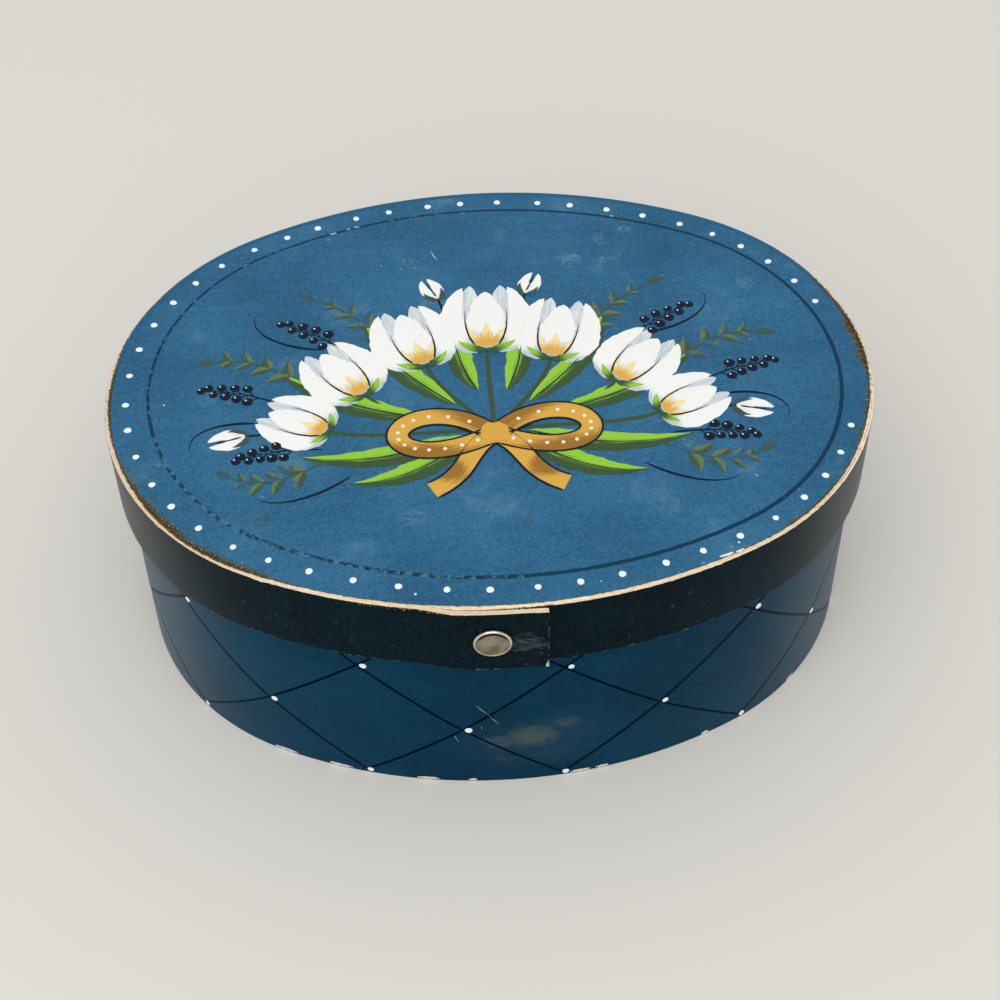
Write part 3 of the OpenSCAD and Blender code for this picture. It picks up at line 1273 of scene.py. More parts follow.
@dataclass(frozen=True)
class Stroke:
    """One brush stroke along a Bezier spine."""

    spine: Spine
    width: float
    profile: Profile
    layer: float = 0.0
    tone: Callable[[float, float], float] = flat_tone
    body: float = 0.07
    shift: float = 0.0

    def at(self, t: float) -> tuple[Vector, Vector]:
        """Gives the spine's point and direction at t."""
        points = [Vector(p) for p in self.spine]
        while len(points) > 2:
            points = [a.lerp(b, t) for a, b in zip(points, points[1:])]
        along = points[1] - points[0]
        return points[0].lerp(points[1], t), along.normalized() if along.length else Vector((1.0, 0.0))

    def length(self) -> float:
        """Gives the spine's length."""
        points = [self.at(i / 12)[0] for i in range(13)]
        return sum((b - a).length for a, b in zip(points, points[1:]))


@dataclass
class Painter:
    """Lays strokes and dots of paint on a surface."""

    surface: Surface
    seed: int
    sunk: float = 0.04
    unsteady: float = 0.05
    finest: float = 0.02
    dome: float = 0.12
    proud: float = 0.03
    dot_points: int = 14
    soft_angle: float = 60.0
    chance: random.Random = field(init=False)

    def __post_init__(self) -> None:
        """Starts the hand's own run of chance."""
        self.chance = random.Random(self.seed)

    def blank(self, columns: int, rows: int) -> bpy.types.Object:
        """Makes a flat closed stroke that every stroke is shaped from."""
        piece = sheet("blank_stroke", columns, rows)
        finish_with(piece, "SOLIDIFY", thickness=1.0, offset=0.0)
        return piece

    def laid(self, blank: bpy.types.Object, stroke: Stroke) -> bpy.types.Object:
        """Shapes a copy of the blank stroke and lays it on the surface.

        Args:
            blank: The flat stroke.
            stroke: The stroke to make.

        Returns:
            The laid stroke.
        """
        piece = copied(blank)
        length = stroke.length()
        start = self.chance.uniform(0, 500)
        # Two of the four draws are read; all four keep the later strokes as they are
        wobble = [self.chance.uniform(0, math.tau) for _ in range(4)]
        tones = []
        pattern = []

        def shaped(point: Vector) -> Triple:
            """Moves a point of the blank to its place in the stroke."""
            t = min(1.0, max(0.0, point.x + 0.5))
            across = point.y * 2
            middle, along = stroke.at(t)
            side = Vector((-along.y, along.x))
            edge = wobble[0] if across < 0 else wobble[1]
            shake = math.sin(t * length * 0.9 + edge) + math.sin(t * length * 2.3 + edge * 2)
            half = stroke.width / 2 * stroke.profile.width(t) * (1 + self.unsteady * shake)
            half = max(self.finest, half)
            spot = middle + side * (stroke.shift + across * half)
            crown = stroke.body * (1 - 0.55 * across**4) * min(1.0, 0.3 + stroke.profile.width(t))
            height = stroke.layer + crown if point.z > 0 else -self.sunk
            tones.append(stroke.tone(t, across))
            pattern.append((start + t * length, start + across * half))
            return tuple(c * MM for c in self.surface.place(spot.x, spot.y, height))

        move_points(piece, shaped)
        marked(piece, "tone", tones)
        layer = piece.data.uv_layers[0]
        for loop in piece.data.loops:
            layer.data[loop.index].uv = pattern[loop.vertex_index]
        return piece

    def strokes(
        self,
        name: str,
        strokes: Sequence[Stroke],
        paint: bpy.types.Material,
        columns: int,
        rows: int,
    ) -> bpy.types.Object:
        """Paints strokes of one colour as one piece.

        Args:
            name: Name of the piece.
            strokes: The strokes.
            paint: Their material.
            columns: Cells along a stroke.
            rows: Cells across it.

        Returns:
            The piece.
        """
        blank = self.blank(columns, rows)
        pieces = [self.laid(blank, stroke) for stroke in strokes]
        bpy.data.objects.remove(blank)
        piece = joined(name, pieces)
        piece.data.materials.append(paint)
        smoothed(piece, self.soft_angle)
        return piece

    def dots(
        self,
        name: str,
        places: Sequence[Triple],
        paint: bpy.types.Material,
        layer: float = 0.0,
    ) -> bpy.types.Object:
        """Sets dots of paint as one piece.

        Args:
            name: Name of the piece.
            places: Each dot's place on the pattern and its diameter.
            paint: Their material.
            layer: Height of the paint below them.

        Returns:
            The piece.
        """
        unit = disc("blank_dot", self.dot_points, 1.0 / MM)
        with editing(unit):
            bpy.ops.mesh.extrude_region_move(TRANSFORM_OT_translate={"value": (0.0, 0.0, 1.0)})
            bpy.ops.mesh.inset(thickness=0.16, depth=0.5)
            bpy.ops.mesh.inset(thickness=0.3, depth=0.1)
            bpy.ops.mesh.inset(thickness=0.3, depth=-0.16)
        pieces = []
        for u, v, diameter in places:
            piece = copied(unit)
            spread = [1 + self.chance.uniform(-0.07, 0.07) for _ in range(2)]
            turn = self.chance.uniform(0, math.tau)

            def shaped(point: Vector) -> Triple:
                """Moves a point of the blank dot to its place on the surface."""
                ripple = 1 + 0.03 * math.sin(3 * math.atan2(point.y, point.x) + turn)
                x = point.x * diameter / 2 * spread[0] * ripple
                y = point.y * diameter / 2 * spread[1] * ripple
                height = -self.sunk
                if point.z > 0.5:
                    height = layer + (point.z - 1.0) * self.dome + self.proud
                return tuple(c * MM for c in self.surface.place(u + x, v + y, height))

            move_points(piece, shaped)
            marked(piece, "tone", [0.0] * len(piece.data.vertices))
            pieces.append(piece)
        bpy.data.objects.remove(unit)
        piece = joined(name, pieces)
        with editing(piece):
            bpy.ops.mesh.normals_make_consistent(inside=False)
        piece.data.materials.append(paint)
        smoothed(piece, self.soft_angle)
        return piece


# Sub-assemblies


@dataclass
class Lid:
    """The lid: top panel, lapped rim, its rivet, the painted border and the painted spray.

    The dots and the line of the border are set by hand, so their places drift. A speck is its place
    along the border, its inset and its diameter. Chips and worn spots of the line are their spines in
    the same terms and their widths.
    """

    oval: Oval = field(default_factory=Oval)
    body: str = "lid"
    top: float = LID_TOP
    rim_bottom: float = 51.0
    panel_thickness: float = 3.0
    panel_inset: float = 1.4
    lap: float = 31.0
    lap_end: float = 8.2
    spring_gap: float = 0.5
    rim_uneven: float = 0.13
    rim_steps: int = 640
    rivet_in: float = 12.7
    rivet_up: float = 10.5
    rivet_gap: float = 0.05
    border_seed: int = 11
    spray_seed: int = 37
    dot_count: int = 52
    dot_along: Drift = Drift(-6.6, (1.3, 2.0), (0.7, 1.0))
    dot_astray: float = 0.6
    dot_inset: Drift = Drift(5.0, (0.0, -0.59), (0.0, 0.71), (0.0, 0.2))
    dot_size: float = 1.75
    dot_vary: float = 0.12
    bare_dots: tuple[float, float] = (112.0, 157.0)
    line_inset: Drift = Drift(8.84, (-1.25, -0.92), (0.38, 0.71))
    line_width: Drift = Drift(0.88, (0.0704, -0.176))
    line_parts: int = 26
    line_overlap: float = 0.05
    specks: tuple[Triple, ...] = (
        (-22.1, 4.2, 0.6),
        (56.6, 3.5, 0.55),
        (-131.0, 14.5, 0.5),
        (21.5, 4.7, 0.28),
    )
    chips: tuple[tuple[Spine, float], ...] = (
        (((50.2, 2.0), (52.0, 1.6), (53.9, 1.65)), 0.55),
        (((54.4, 1.5), (55.6, 1.3), (56.6, 1.4)), 0.4),
    )
    scratch: Spine = ((282.5, 22.4), (282.4, 24.8), (281.0, 26.4))
    scratch_width: float = 0.42
    worn_line: tuple[tuple[Spine, float], ...] = (
        (((301.0, 7.5), (302.6, 7.3)), 0.5),
        (((303.6, 7.5), (304.8, 7.4)), 0.36),
        (((307.8, 7.7), (309.9, 7.6)), 0.5),
        (((227.5, 7.1), (228.4, 7.0)), 0.6),
    )
    line_body: float = 0.04
    mark_body: float = 0.02

    def build(self) -> None:
        """Builds and dresses every piece of the lid."""
        self.wood_and_metal()
        self.border()
        Spray(Painter(LidTop(self.top), self.spray_seed), self.body).build()

    def wood_and_metal(self) -> None:
        """Builds the panel, the rim and the rivet."""
        wood = BareWood("panel_underside_wood").material()
        panel = Panel(self.oval, "lid_top", self.panel_inset, self.top - self.panel_thickness, self.top)
        fitted(panel.build(LidBlue().material(), wood), self.body, "lid_paint", "lid_top_panel")
        root = self.lap_end - self.lap
        rim = Strip(
            self.oval, "lid_rim", 0.0, self.rim_bottom, self.top, root, self.lap, outward=True,
            gap=self.spring_gap, uneven=self.rim_uneven, steps=self.rim_steps,
        )
        black = RimBlack(self.top, self.rim_bottom, self.oval.perimeter + self.lap_end).material()
        inner = BareWood("rim_inner_wood", bent=True).material()
        fitted(rim.build(black, inner), self.body, "rim_paint", "lid_rim_band")
        nickel = Metal("nickel_plate", 0.22).material()
        seat = -(rim.thickness + rim.glue + self.rivet_gap)
        level = self.rim_bottom + self.rivet_up
        rivet = Rivet(self.oval).build("rim_rivet", self.lap_end - self.rivet_in, seat, level)
        rivet.data.materials.append(nickel)
        fitted(rivet, self.body, "nickel", "lid_rivet")

    def border(self) -> None:
        """Paints the row of dots, the marks beside it and the line inside it."""
        painter = Painter(LidBorder(self.oval, self.top), self.border_seed)
        self.border_dots(painter)
        self.border_marks(painter)
        self.border_line(painter)

    def border_dots(self, painter: Painter) -> None:
        """Sets the row of dots and the stray specks."""
        pitch = self.oval.perimeter / self.dot_count
        places = list(self.specks)
        for i in range(self.dot_count):
            along = self.dot_along.at(math.tau * i / self.dot_count) + i * pitch
            along += painter.chance.uniform(-self.dot_astray, self.dot_astray)
            size = self.dot_size + painter.chance.uniform(-self.dot_vary, self.dot_vary)
            if not self.bare_dots[0] < along < self.bare_dots[1]:
                places.append((along, self.dot_inset.at(self.oval.direction(along)), size))
        white = BrushPaint("dot_white_paint", (242, 250, 253), (208, 222, 230), (150, 180, 196), 0.05)
        fitted(painter.dots("border_dots", places, white.material()), self.body, "lid_paint")

    def border_marks(self, painter: Painter) -> None:
        """Paints the chips at the edge, one scratch and the pale spots where the line is worn off."""
        thin = self.mark_body
        chips = [Stroke(spine, width, Profile.ROUND, body=thin) for spine, width in self.chips]
        chalk = BrushPaint("chip_paint", (246, 244, 238), (226, 214, 192), (90, 120, 140), 0.3)
        piece = painter.strokes("border_chips", chips, chalk.material(), columns=10, rows=2)
        fitted(piece, self.body, "lid_paint")
        scratches = [Stroke(self.scratch, self.scratch_width, Profile.LEAF, body=thin)]
        for spine, width in self.worn_line:
            scratches.append(Stroke(spine, width, Profile.ROUND, self.line_body, body=thin))
        pale = BrushPaint("scratched_lid_paint", (156, 188, 206), (118, 156, 180), (60, 112, 146), 0.4)
        piece = painter.strokes("border_scratches", scratches, pale.material(), columns=10, rows=2)
        fitted(piece, self.body, "lid_paint")

    def border_line(self, painter: Painter) -> None:
        """Paints the line inside the dots, thicker in front and rubbed most at the front left."""
        step = self.oval.perimeter / self.line_parts
        strokes = []
        for i in range(self.line_parts):
            first = i * step - self.line_overlap
            last = (i + 1) * step + self.line_overlap
            alongs = (first, (i + 1 / 3) * step, (i + 2 / 3) * step, last)
            spine = tuple((along, self.line_inset.at(self.oval.direction(along))) for along in alongs)
            width = self.line_width.at(self.oval.direction((i + 0.5) * step))
            strokes.append(Stroke(spine, width, Profile.BAND, body=self.line_body))
        navy = BrushPaint(
            "border_line_paint", (17, 58, 84), (30, 76, 104), (74, 118, 142), 0.28, 0.12, 0.08,
            gloss=0.08, patch=0.55,
        )
        line = painter.strokes("border_line", strokes, navy.material(), columns=12, rows=2)
        fitted(line, self.body, "lid_paint")


@dataclass
class Spray:
    """Painted fan of tulips tied with a ribbon, in the middle of the lid.

    Motifs are given for the right half. Each is painted on both halves, a little astray each time.
    """

    painter: Painter
    body: str
    knot: Point = (0.0, -18.0)
    tulips: tuple[tuple[Point, float, float], ...] = (
        ((0.0, 11.0), 0.0, 24.5),
        ((16.0, 7.0), 17.0, 22.5),
        ((30.5, -2.0), 38.0, 21.0),
        ((40.5, -15.0), 63.0, 18.5),
    )
    leaves: tuple[Spine, ...] = (
        ((4.0, -4.0), (9.0, 6.0), (10.0, 18.0), (9.0, 30.0)),
        ((9.0, -8.0), (20.0, 2.0), (28.0, 11.0), (31.0, 24.0)),
        ((16.0, -12.0), (32.0, -9.0), (43.0, -2.0), (53.0, 7.0)),
        ((8.0, -18.0), (20.0, -23.0), (34.0, -26.0), (48.0, -22.0)),
        ((6.0, -19.0), (14.0, -27.0), (24.0, -33.0), (35.0, -32.0)),
    )
    sprigs: tuple[Spine, ...] = (
        ((22.0, 10.0), (27.0, 20.0), (33.0, 28.0), (43.0, 33.0)),
        ((42.0, 0.0), (52.0, 8.0), (60.0, 13.0), (68.0, 12.0)),
        ((40.0, -24.0), (50.0, -31.0), (58.0, -33.0), (64.0, -29.0)),
    )
    clusters: tuple[tuple[Point, Point], ...] = (
        ((34.0, 9.0), (52.0, 24.0)),
        ((50.0, -6.0), (70.0, 1.0)),
        ((42.0, -21.0), (62.0, -23.0)),
    )
    tendrils: tuple[Spine, ...] = (
        ((40.0, 14.0), (52.0, 15.0), (61.0, 23.0), (57.0, 29.0)),
        ((56.0, -10.0), (66.0, -8.0), (76.0, -12.0), (72.0, -20.0)),
        ((34.0, -30.0), (44.0, -38.0), (54.0, -39.0), (57.0, -35.0)),
    )
    buds: tuple[tuple[Point, float, float], ...] = (
        ((60.0, -14.0), 104.0, 9.0),
        ((12.0, 31.0), 24.0, 8.0),
    )
    leaf_width: float = 6.6
    tendril_width: float = 0.75
    berry: float = 2.7
    ribbon_dots: int = 14
    ground: Triple = (40, 96, 132)
    astray: float = 0.9
    side: int = 1
    offset: Point = (0.0, 0.0)
    strokes: dict[str, list[Stroke]] = field(default_factory=dict)
    spots: dict[str, list[Triple]] = field(default_factory=dict)

    def stray(self) -> None:
        """Picks how far astray the next motif is painted."""
        chance = self.painter.chance
        across = chance.uniform(-self.astray, self.astray)
        self.offset = (across, chance.uniform(-self.astray, self.astray))

    def add(
        self,
        colour: str,
        spine: Sequence[Point],
        width: float,
        profile: Profile,
        layer: float,
        tone: Callable[[float, float], float] = flat_tone,
        shift: float = 0.0,
    ) -> None:
        """Adds a stroke on the half that is being painted.

        Args:
            colour: Paint that it is laid in.
            spine: Its Bezier spine on the right half.
            width: Its full width.
            profile: Its outline.
            layer: Height of the paint below it.
            tone: Its second colour's share.
            shift: How far it lies beside its spine.
        """
        side = self.side
        shade = tone if side > 0 else lambda t, across: tone(t, -across)
        points = tuple((side * u + self.offset[0], v + self.offset[1]) for u, v in spine)
        stroke = Stroke(points, width, profile, layer, shade, shift=side * shift)
        self.strokes.setdefault(colour, []).append(stroke)

    def spot(self, colour: str, u: float, v: float, size: float) -> None:
        """Adds a dot on the half that is being painted."""
        place = (self.side * u + self.offset[0], v + self.offset[1], size)
        self.spots.setdefault(colour, []).append(place)

    def turned(self, foot: Point, lean: float, size: float, *points: Point) -> list[Point]:
        """Places points of an upright flower.

        Args:
            foot: The flower's foot.
            lean: Its lean to the right, in degrees.
            size: Its length.
            *points: The points, in lengths of the flower.

        Returns:
            The points on the lid.
        """
        across = Vector((math.cos(math.radians(lean)), -math.sin(math.radians(lean))))
        up = Vector((-across.y, across.x))
        placed = [Vector(foot) + (across * u + up * v) * size for u, v in points]
        return [(point.x, point.y) for point in placed]

    def tulip(self, foot: Point, lean: float, size: float) -> None:
        """Paints one tulip and its stem."""
        lean += self.painter.chance.uniform(-4, 4)

        def on(*points: Point) -> list[Point]:
            """Places points of this flower."""
            return self.turned(foot, lean, size, *points)

        def foot_shade(t: float, across: float) -> float:
            """Darkens a petal towards its foot and its edges."""
            return 0.85 * (1 - ease(t / 0.45)) + 0.25 * across**2

        for way in (1, -1):
            spine = on((way * 0.05, 0.12), (way * 0.2, 0.5), (way * 0.16, 0.98))
            self.add("white", spine, size * 0.32, Profile.PETAL, 0.05, lambda t, across: 0.55)
            spine = on((way * 0.03, 0.02), (way * 0.44, 0.06), (way * 0.42, 0.6), (way * 0.24, 0.95))
            self.add("white", spine, size * 0.28, Profile.PETAL, 0.09, foot_shade)
            spine = on((way * 0.12, 0.06), (way * 0.25, 0.3), (way * 0.21, 0.62))
            self.add("line", spine, 0.55, Profile.COMMA, 0.2)
            spine = on((way * 0.02, 0.05), (way * 0.14, 0.14), (way * 0.19, 0.33))
            self.add("cream", spine, size * 0.09, Profile.LEAF, 0.18, lambda t, across: 1 - t)
            spine = on((0.0, -0.02), (way * 0.16, 0.0), (way * 0.3, 0.13))
            self.add("green", spine, size * 0.1, Profile.LEAF, 0.19, lambda t, across: t)
        spine = on((0.0, 0.02), (0.0, 0.5), (0.0, 0.88))
        self.add("white", spine, size * 0.4, Profile.PETAL, 0.13, foot_shade)
        spine = on((0.0, 0.03), (0.0, 0.2), (0.0, 0.4))
        self.add("cream", spine, size * 0.13, Profile.LEAF, 0.22, lambda t, across: 1 - t)
        reach = (foot[0] * 0.35, self.knot[1] * 0.6 + foot[1] * 0.4)
        near = on((0.0, -0.5))[0]
        self.add("stem", [(foot[0] * 0.05, self.knot[1]), reach, near, foot], 1.1, Profile.LINE, 0.02)

    def leaf(self, spine: Sequence[Point]) -> None:
        """Paints one two-tone leaf with its vein."""

        def one_side(t: float, across: float) -> float:
            """Lightens one side of the leaf, most towards its tip."""
            return 0.5 + 0.75 * across * (0.4 + t)

        self.add("green", spine, self.leaf_width, Profile.LEAF, 0.03, one_side)
        self.add("line", spine, 0.4, Profile.COMMA, 0.09)

    def sprig(self, spine: Sequence[Point]) -> None:
        """Paints one thin stalk with small worn leaves in pairs."""
        self.add("sage", spine, 0.6, Profile.LINE, 0.01)
        guide = Stroke(tuple(spine), 1.0, Profile.LINE)
        for i in range(4):
            point, along = guide.at((i + 1.2) / 5.2)
            for way in (1, -1):
                turn = way * math.radians(48)
                u = along.x * math.cos(turn) - along.y * math.sin(turn)
                v = along.x * math.sin(turn) + along.y * math.cos(turn)
                length = (7.0 - i) * self.painter.chance.uniform(0.85, 1.1)
                quarter = length * 0.25
                bend = (point.x + (u + along.x) * quarter, point.y + (v + along.y) * quarter)
                tip = (point.x + u * length, point.y + v * length)
                leaf = [(point.x, point.y), bend, tip]
                width = length * 0.46
                self.add("sage", leaf, width, Profile.LEAF, 0.02, lambda t, across: 0.5 + across)
        end, along = guide.at(1.0)
        tip = (end.x + along.x * 5, end.y + along.y * 5)
        self.add("sage", [(end.x, end.y), tip], 2.2, Profile.LEAF, 0.02)

    def bud(self, foot: Point, lean: float, size: float) -> None:
        """Paints one closed bud with its calyx."""
        for way in (1, -1):
            spine = self.turned(foot, lean, size, (0.0, 0.0), (way * 0.34, 0.35), (way * 0.1, 1.0))
            self.add("white", spine, size * 0.36, Profile.PETAL, 0.06, lambda t, across: 0.5 * (1 - t))
            spine = self.turned(foot, lean, size, (0.0, -0.1), (way * 0.3, 0.05), (way * 0.3, 0.42))
            self.add("sage", spine, size * 0.16, Profile.LEAF, 0.14)
        spine = self.turned(foot, lean, size, (0.0, 0.1), (0.03, 0.4), (0.0, 0.8))
        self.add("line", spine, 0.45, Profile.COMMA, 0.16)
        spine = self.turned(foot, lean, size, (0.3, -1.3), (0.1, -0.6), (0.0, 0.0))
        self.add("line", spine, 0.6, Profile.LINE, 0.02)

    def cluster(self, start: Point, end: Point) -> None:
        """Paints one stalk of berries, in two rows that narrow towards its end."""
        bend = ((start[0] + end[0]) / 2 - (end[1] - start[1]) * 0.2, (start[1] + end[1]) / 2 + 2.5)
        spine = (start, bend, end)
        self.add("line", spine, 0.55, Profile.COMMA, 0.02)
        guide = Stroke(spine, 1.0, Profile.LINE)
        for i in range(9):
            t = 0.42 + 0.58 * i / 8
            point, along = guide.at(t)
            way = 1 if i % 2 else -1
            reach = way * (3.2 - 2.4 * t) if i < 8 else 0.0
            u = point.x - along.y * reach + along.x * 0.8
            v = point.y + along.x * reach + along.y * 0.8
            back = guide.at(t - 0.07)[0]
            self.add("line", [(back.x, back.y), (u, v)], 0.32, Profile.LINE, 0.03)
            size = self.berry * (1.15 - 0.3 * t) * self.painter.chance.uniform(0.88, 1.1)
            self.spot("berry", u, v, size)
            self.spot("glint", u - self.side * 0.4, v + 0.45, 0.55)

    def ribbon(self) -> None:
        """Paints one half of the bow: loop and tail, with their dark edges and a row of dots."""
        x, y = self.knot

        def folds(t: float, across: float) -> float:
            """Shades the ribbon where it turns over."""
            return 0.35 + 0.4 * math.cos(9 * t) + 0.3 * across

        loop = [
            (x + 1.0, y),
            (x + 14.0, y + 14.0),
            (x + 36.0, y + 6.0),
            (x + 27.0, y - 13.0),
            (x + 9.0, y - 5.0),
            (x + 1.0, y - 1.0),
        ]
        tail = [(x + 0.5, y - 1.0), (x + 8.0, y - 6.0), (x + 6.0, y - 13.0), (x + 16.0, y - 18.0)]
        for spine, width, layer in ((tail, 5.2, 0.1), (loop, 5.4, 0.14)):
            self.add("ochre", spine, width, Profile.BAND, layer, folds)
            for shift in (-width / 2, width / 2):
                self.add("line", spine, 0.5, Profile.LINE, layer + 0.05, shift=shift)
        fold = [(x + 3.0, y - 0.4), (x + 6.0, y + 0.2), (x + 9.0, y + 1.8)]
        self.add("line", fold, 0.5, Profile.COMMA, 0.21)
        guide = Stroke(tuple(loop), 1.0, Profile.LINE)
        for i in range(1, self.ribbon_dots):
            spot = guide.at(i / self.ribbon_dots)[0]
            self.spot("ribbon_dot", spot.x, spot.y, 1.0)

    def half(self) -> None:
        """Paints everything on one half."""
        for spine in self.sprigs:
            self.stray()
            self.sprig(spine)
        for spine in self.tendrils:
            self.stray()
            self.add("line", spine, self.tendril_width, Profile.COMMA, 0.01)
        for start, end in self.clusters:
            self.stray()
            self.cluster(start, end)
        for spine in self.leaves:
            self.stray()
            self.leaf(spine)
        for foot, lean, size in self.buds:
            self.stray()
            self.bud(foot, lean, size)
        for foot, lean, size in self.tulips[1:]:
            self.stray()
            self.tulip(foot, lean, size)
        self.offset = (0.0, 0.0)
        self.ribbon()

    def build(self) -> None:
        """Paints the whole spray, one piece for each colour."""
        for side in (1, -1):
            self.side = side
            self.half()
        self.side = 1
        self.tulip(*self.tulips[0])
        x, y = self.knot
        tie = [(x - 3.6, y - 0.5), (x + 3.6, y - 0.5)]
        self.add("ochre", tie, 7.0, Profile.ROUND, 0.2, lambda t, across: 0.3)
        self.lay_strokes()
        self.lay_dots()

    def lay_strokes(self) -> None:
        """Lays the strokes, colour by colour."""
        ground = self.ground
        paints = {
            "sage": BrushPaint("sage_green_paint", (64, 84, 58), (104, 122, 76), ground, 0.75, patch=0.4),
            "stem": BrushPaint("stem_green_paint", (58, 82, 50), (84, 112, 62), ground, 0.2),
            "green": BrushPaint("leaf_green_paint", (58, 86, 50), (150, 206, 58), ground, 0.1),
            "white": BrushPaint("petal_white_paint", (250, 250, 247), (190, 204, 212), ground, 0.05),
            "cream": BrushPaint("petal_cream_paint", (250, 232, 170), (228, 176, 74), ground),
            "ochre": BrushPaint("ribbon_ochre_paint", (222, 174, 72), (160, 112, 40), ground, 0.1),
            "line": BrushPaint("accent_line_paint", (14, 30, 46), (28, 50, 70), ground, 0.1, gloss=0.1),
        }
        for colour, paint in paints.items():
            columns = 44 if colour in ("ochre", "line") else 22
            rows = 2 if colour == "line" else 6
            strokes = self.strokes[colour]
            piece = self.painter.strokes(f"spray_{colour}", strokes, paint.material(), columns, rows)
            fitted(piece, self.body, "lid_paint")

    def lay_dots(self) -> None:
        """Lays the berries, their glints and the ribbon's dots."""
        ground = self.ground
        berry = BrushPaint("berry_navy_paint", (16, 28, 44), (34, 52, 72), ground, gloss=0.12)
        glint = BrushPaint("berry_glint_paint", (206, 218, 226), (150, 174, 190), ground)
        ribbon_dot = BrushPaint("ribbon_dot_paint", (246, 242, 228), (220, 212, 188), ground)
        dots = {"berry": (berry, 0.06), "glint": (glint, 0.12), "ribbon_dot": (ribbon_dot, 0.24)}
        for colour, (paint, layer) in dots.items():
            piece = self.painter.dots(f"spray_{colour}", self.spots[colour], paint.material(), layer)
            fitted(piece, self.body, "lid_paint")


@dataclass
class Box:
    """The box: lapped side, its rivets, the bottom panel and the painted lattice."""

    oval: Oval = field(default_factory=Oval)
    body: str = "box"
    inset: float = 2.2
    top: float = 68.0
    lap: float = 34.0
    side_rows: int = 12
    rivet_in: float = 12.0
    rivet_levels: tuple[float, float] = (13.0, 37.0)
    paint_edge: float = 55.0
    seed: int = 23
    diamonds: int = 11
    lattice_start: float = -12.4
    lattice_drift: float = 2.7
    rows: tuple[float, ...] = (1.3, 21.8, 44.4, 67.0)
    line_width: float = 0.74
    line_body: float = 0.04
    line_stop: float = 1.5
    overrun: float = 0.9
    dot_size: float = 1.7
    dot_shifts: tuple[float, ...] = (0.8, 1.5, 1.6)
    back_slip: float = -9.0
    worn_dot: tuple[int, int] = (17, 1)
    scratches: tuple[Spine, ...] = (
        ((-9.1, 32.3), (-7.2, 29.6), (-5.4, 27.6)),
        ((-5.6, 27.4), (-4.4, 25.6), (-3.2, 24.0)),
        ((-8.2, 24.0), (-7.4, 22.3)),
        ((-14.5, 19.6), (-13.5, 16.8)),
    )
    scratch_width: float = 0.22
    scratch_body: float = 0.015

    def build(self) -> None:
        """Builds and dresses every piece of the box."""
        self.wood_and_metal()
        self.lattice()

    def wood_and_metal(self) -> None:
        """Builds the side and its rivets, and dresses the bottom panel."""
        middle = self.oval.perimeter / 2
        root = middle - self.lap / 2
        side = Strip(
            self.oval, "box_side", self.inset, 0.0, self.top, root, self.lap, outward=False,
            rows=self.side_rows,
        )
        inner = BareWood("side_inner_wood", bent=True).material()
        blue = SideBlue(self.paint_edge, self.oval.perimeter).material()
        fitted(side.build(blue, inner), self.body, "side_paint", "box_side_band")
        nickel = Metal("back_rivet_nickel", 0.24).material()
        rivets = []
        for i, level in enumerate(self.rivet_levels):
            along = middle + self.lap / 2 - self.rivet_in
            rivets.append(Rivet(self.oval).build(f"side_rivet_{i}", along, self.inset, level))
        pair = joined("side_rivets", rivets)
        pair.data.materials.append(nickel)
        fitted(pair, self.body, "nickel", "box_lap_rivets")
        dress("box_bottom_panel", BareWood("bottom_panel_wood", pale=srgb(214, 186, 144)).material())

    def column(self, half_steps: int) -> float:
        """Gives the place along the oval of a lattice column, counted in half diamonds."""
        i = half_steps / 2
        pitch = self.oval.perimeter / self.diamonds
        drift = self.lattice_drift * math.sin(math.tau * i / self.diamonds)
        rest = i % self.diamonds
        slip = self.back_slip * ease((rest - 3) / 3) * ease((9.2 - rest) / 0.7)
        return self.lattice_start + i * pitch + drift + slip

    def lattice(self) -> None:
        """Paints the crossing lines and the dots where they cross."""
        painter = Painter(BoxSide(self.oval, self.inset), self.seed)
        share = (self.paint_edge - self.line_stop - self.rows[2]) / (self.rows[3] - self.rows[2])
        strokes = []
        places = []
        for start in range(1, 2 * self.diamonds, 2):
            for way in (1, -1):
                corners = [(self.column(start + way * k), self.rows[k]) for k in range(4)]
                last = Vector(corners[2]).lerp(Vector(corners[3]), share)
                corners[3] = (last.x, last.y)
                for first, second in zip(corners, corners[1:]):
                    width = self.line_width * painter.chance.uniform(0.85, 1.15)
                    over = (Vector(second) - Vector(first)).normalized() * self.overrun
                    spine = (tuple(Vector(first) - over), tuple(Vector(second) + over))
                    strokes.append(Stroke(spine, width, Profile.LINE, body=self.line_body))
            for k in range(3):
                u = self.column(start + k % 2) + self.dot_shifts[k]
                size = self.dot_size * painter.chance.uniform(0.9, 1.1)
                if (start, k) != self.worn_dot:
                    places.append((u, self.rows[k], size))
        navy = BrushPaint(
            "lattice_line_paint", (0, 20, 40), (0, 28, 52), (4, 44, 68), 0.1, gloss=0.0, sheen=0.5,
        )
        lines = painter.strokes("side_lattice", strokes, navy.material(), columns=16, rows=2)
        fitted(lines, self.body, "side_paint")
        white = BrushPaint("lattice_dot_paint", (246, 248, 248), (208, 216, 222), (130, 150, 166), 0.05)
        fitted(painter.dots("side_lattice_dots", places, white.material()), self.body, "side_paint")
        marks = []
        for spine in self.scratches:
            width, body = self.scratch_width, self.scratch_body
            marks.append(Stroke(spine, width, Profile.LEAF, self.line_body, body=body))
        chalk = BrushPaint("scratch_paint", (118, 154, 176), (80, 118, 142), (8, 50, 74), 0.85)
        scratches = painter.strokes("side_scratches", marks, chalk.material(), columns=10, rows=2)
        fitted(scratches, self.body, "side_paint")


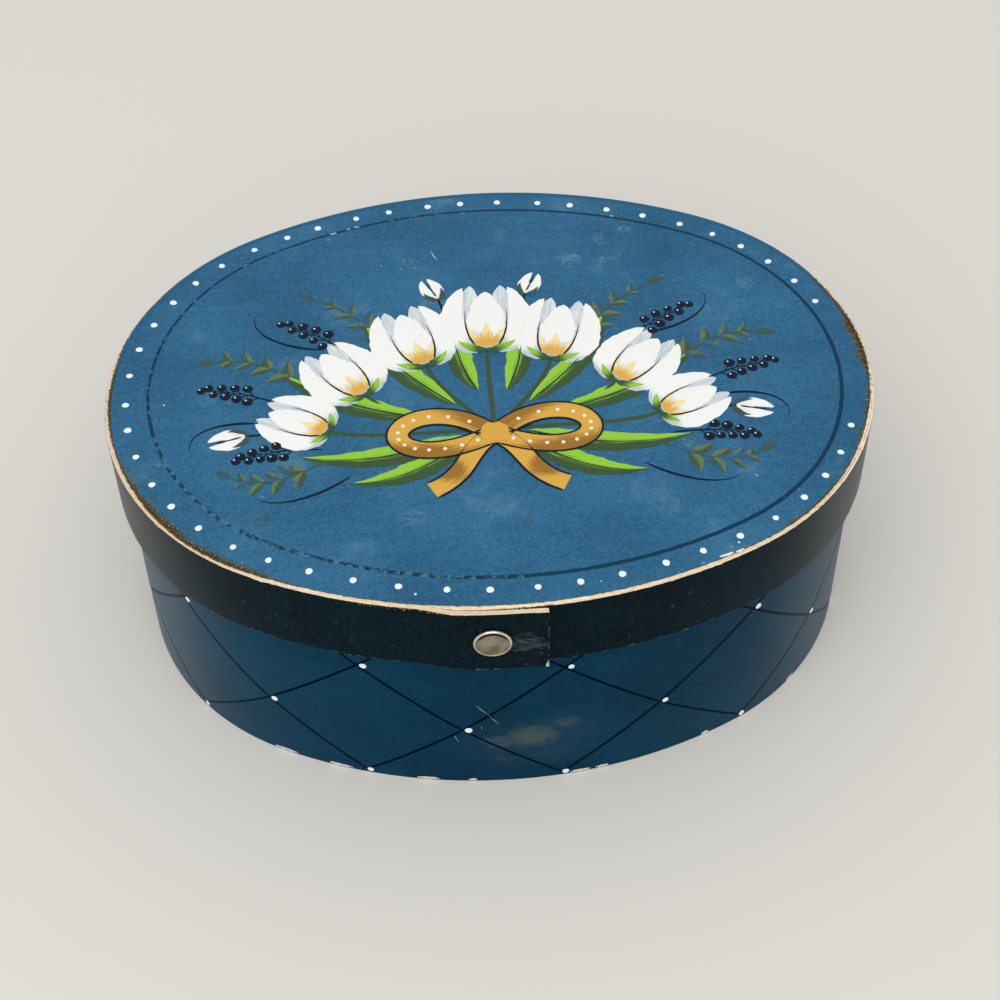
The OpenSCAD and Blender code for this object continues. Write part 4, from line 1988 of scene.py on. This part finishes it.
@dataclass
class Studio:
    """Pale floor, soft light and a camera at the photo's angle."""

    azimuth: float = -3.255
    elevation: float = 48.0
    roll: float = -1.061
    aim: Triple = (3.28, 23.64, 0.0)
    distance: float = 545.8
    lens: float = 69.2
    near_clip: float = 0.01
    floor_size: float = 6.0
    floor_colour: Colour = srgb(230, 227, 220)
    floor_rough: float = 0.8
    floor_gloss: float = 0.1
    world_level: float = 0.68
    lamp_power: float = 11.0
    lamp_size: float = 1.6
    lamp_place: Triple = (-0.25, -0.9, 1.25)

    def build(self) -> None:
        """Sets up the camera, the light and the floor."""
        scene = bpy.context.scene
        scene.view_settings.view_transform = "Standard"
        self.camera(scene)
        self.light(scene)
        self.floor()

    def camera(self, scene: bpy.types.Scene) -> None:
        """Makes the camera and aims it."""
        az, el = math.radians(self.azimuth), math.radians(self.elevation)
        back = Vector((math.sin(az) * math.cos(el), -math.cos(az) * math.cos(el), math.sin(el)))
        right = Vector((math.cos(az), math.sin(az), 0.0))
        turn = Matrix((right, back.cross(right), back)).transposed()
        data = bpy.data.cameras.new("photo_camera")
        data.lens = self.lens
        data.clip_start = self.near_clip
        camera = bpy.data.objects.new("photo_camera", data)
        scene.collection.objects.link(camera)
        place = Matrix.Translation((Vector(self.aim) + back * self.distance) * MM)
        camera.matrix_world = place @ turn.to_4x4() @ Matrix.Rotation(math.radians(self.roll), 4, "Z")
        scene.camera = camera

    def light(self, scene: bpy.types.Scene) -> None:
        """Makes the even world light and one large soft lamp."""
        world = bpy.data.worlds.new("studio_world")
        world.use_nodes = True
        background = world.node_tree.nodes["Background"]
        background.inputs["Color"].default_value = (1.0, 1.0, 1.0, 1.0)
        background.inputs["Strength"].default_value = self.world_level
        scene.world = world
        data = bpy.data.lights.new("soft_lamp", "AREA")
        data.energy = self.lamp_power
        data.size = self.lamp_size
        lamp = bpy.data.objects.new("soft_lamp", data)
        lamp.location = self.lamp_place
        lamp.rotation_euler = (-Vector(self.lamp_place)).to_track_quat("-Z", "Y").to_euler()
        scene.collection.objects.link(lamp)

    def floor(self) -> None:
        """Makes the pale floor."""
        deselect()
        bpy.ops.mesh.primitive_plane_add(size=self.floor_size)
        floor = named("studio_floor")
        shader = Shader("studio_floor")
        shader.surface.inputs["Base Color"].default_value = self.floor_colour
        shader.surface.inputs["Roughness"].default_value = self.floor_rough
        shader.surface.inputs["Specular IOR Level"].default_value = self.floor_gloss
        floor.data.materials.append(shader.material)


def write_sizes() -> None:
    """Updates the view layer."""
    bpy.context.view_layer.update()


def main() -> None:
    """Builds the studio, the box and the lid in order."""
    logging.basicConfig(level=logging.INFO, format="%(name)s: %(message)s")
    Studio().build()
    Box().build()
    Lid().build()
    steel = Metal("brad_steel", 0.35, srgb(170, 170, 172), srgb(120, 120, 124)).material()
    for node in ("lid_panel_brads", "bottom_panel_brads"):
        dress(node, steel)
    write_sizes()


if __name__ == "__main__":
    main()
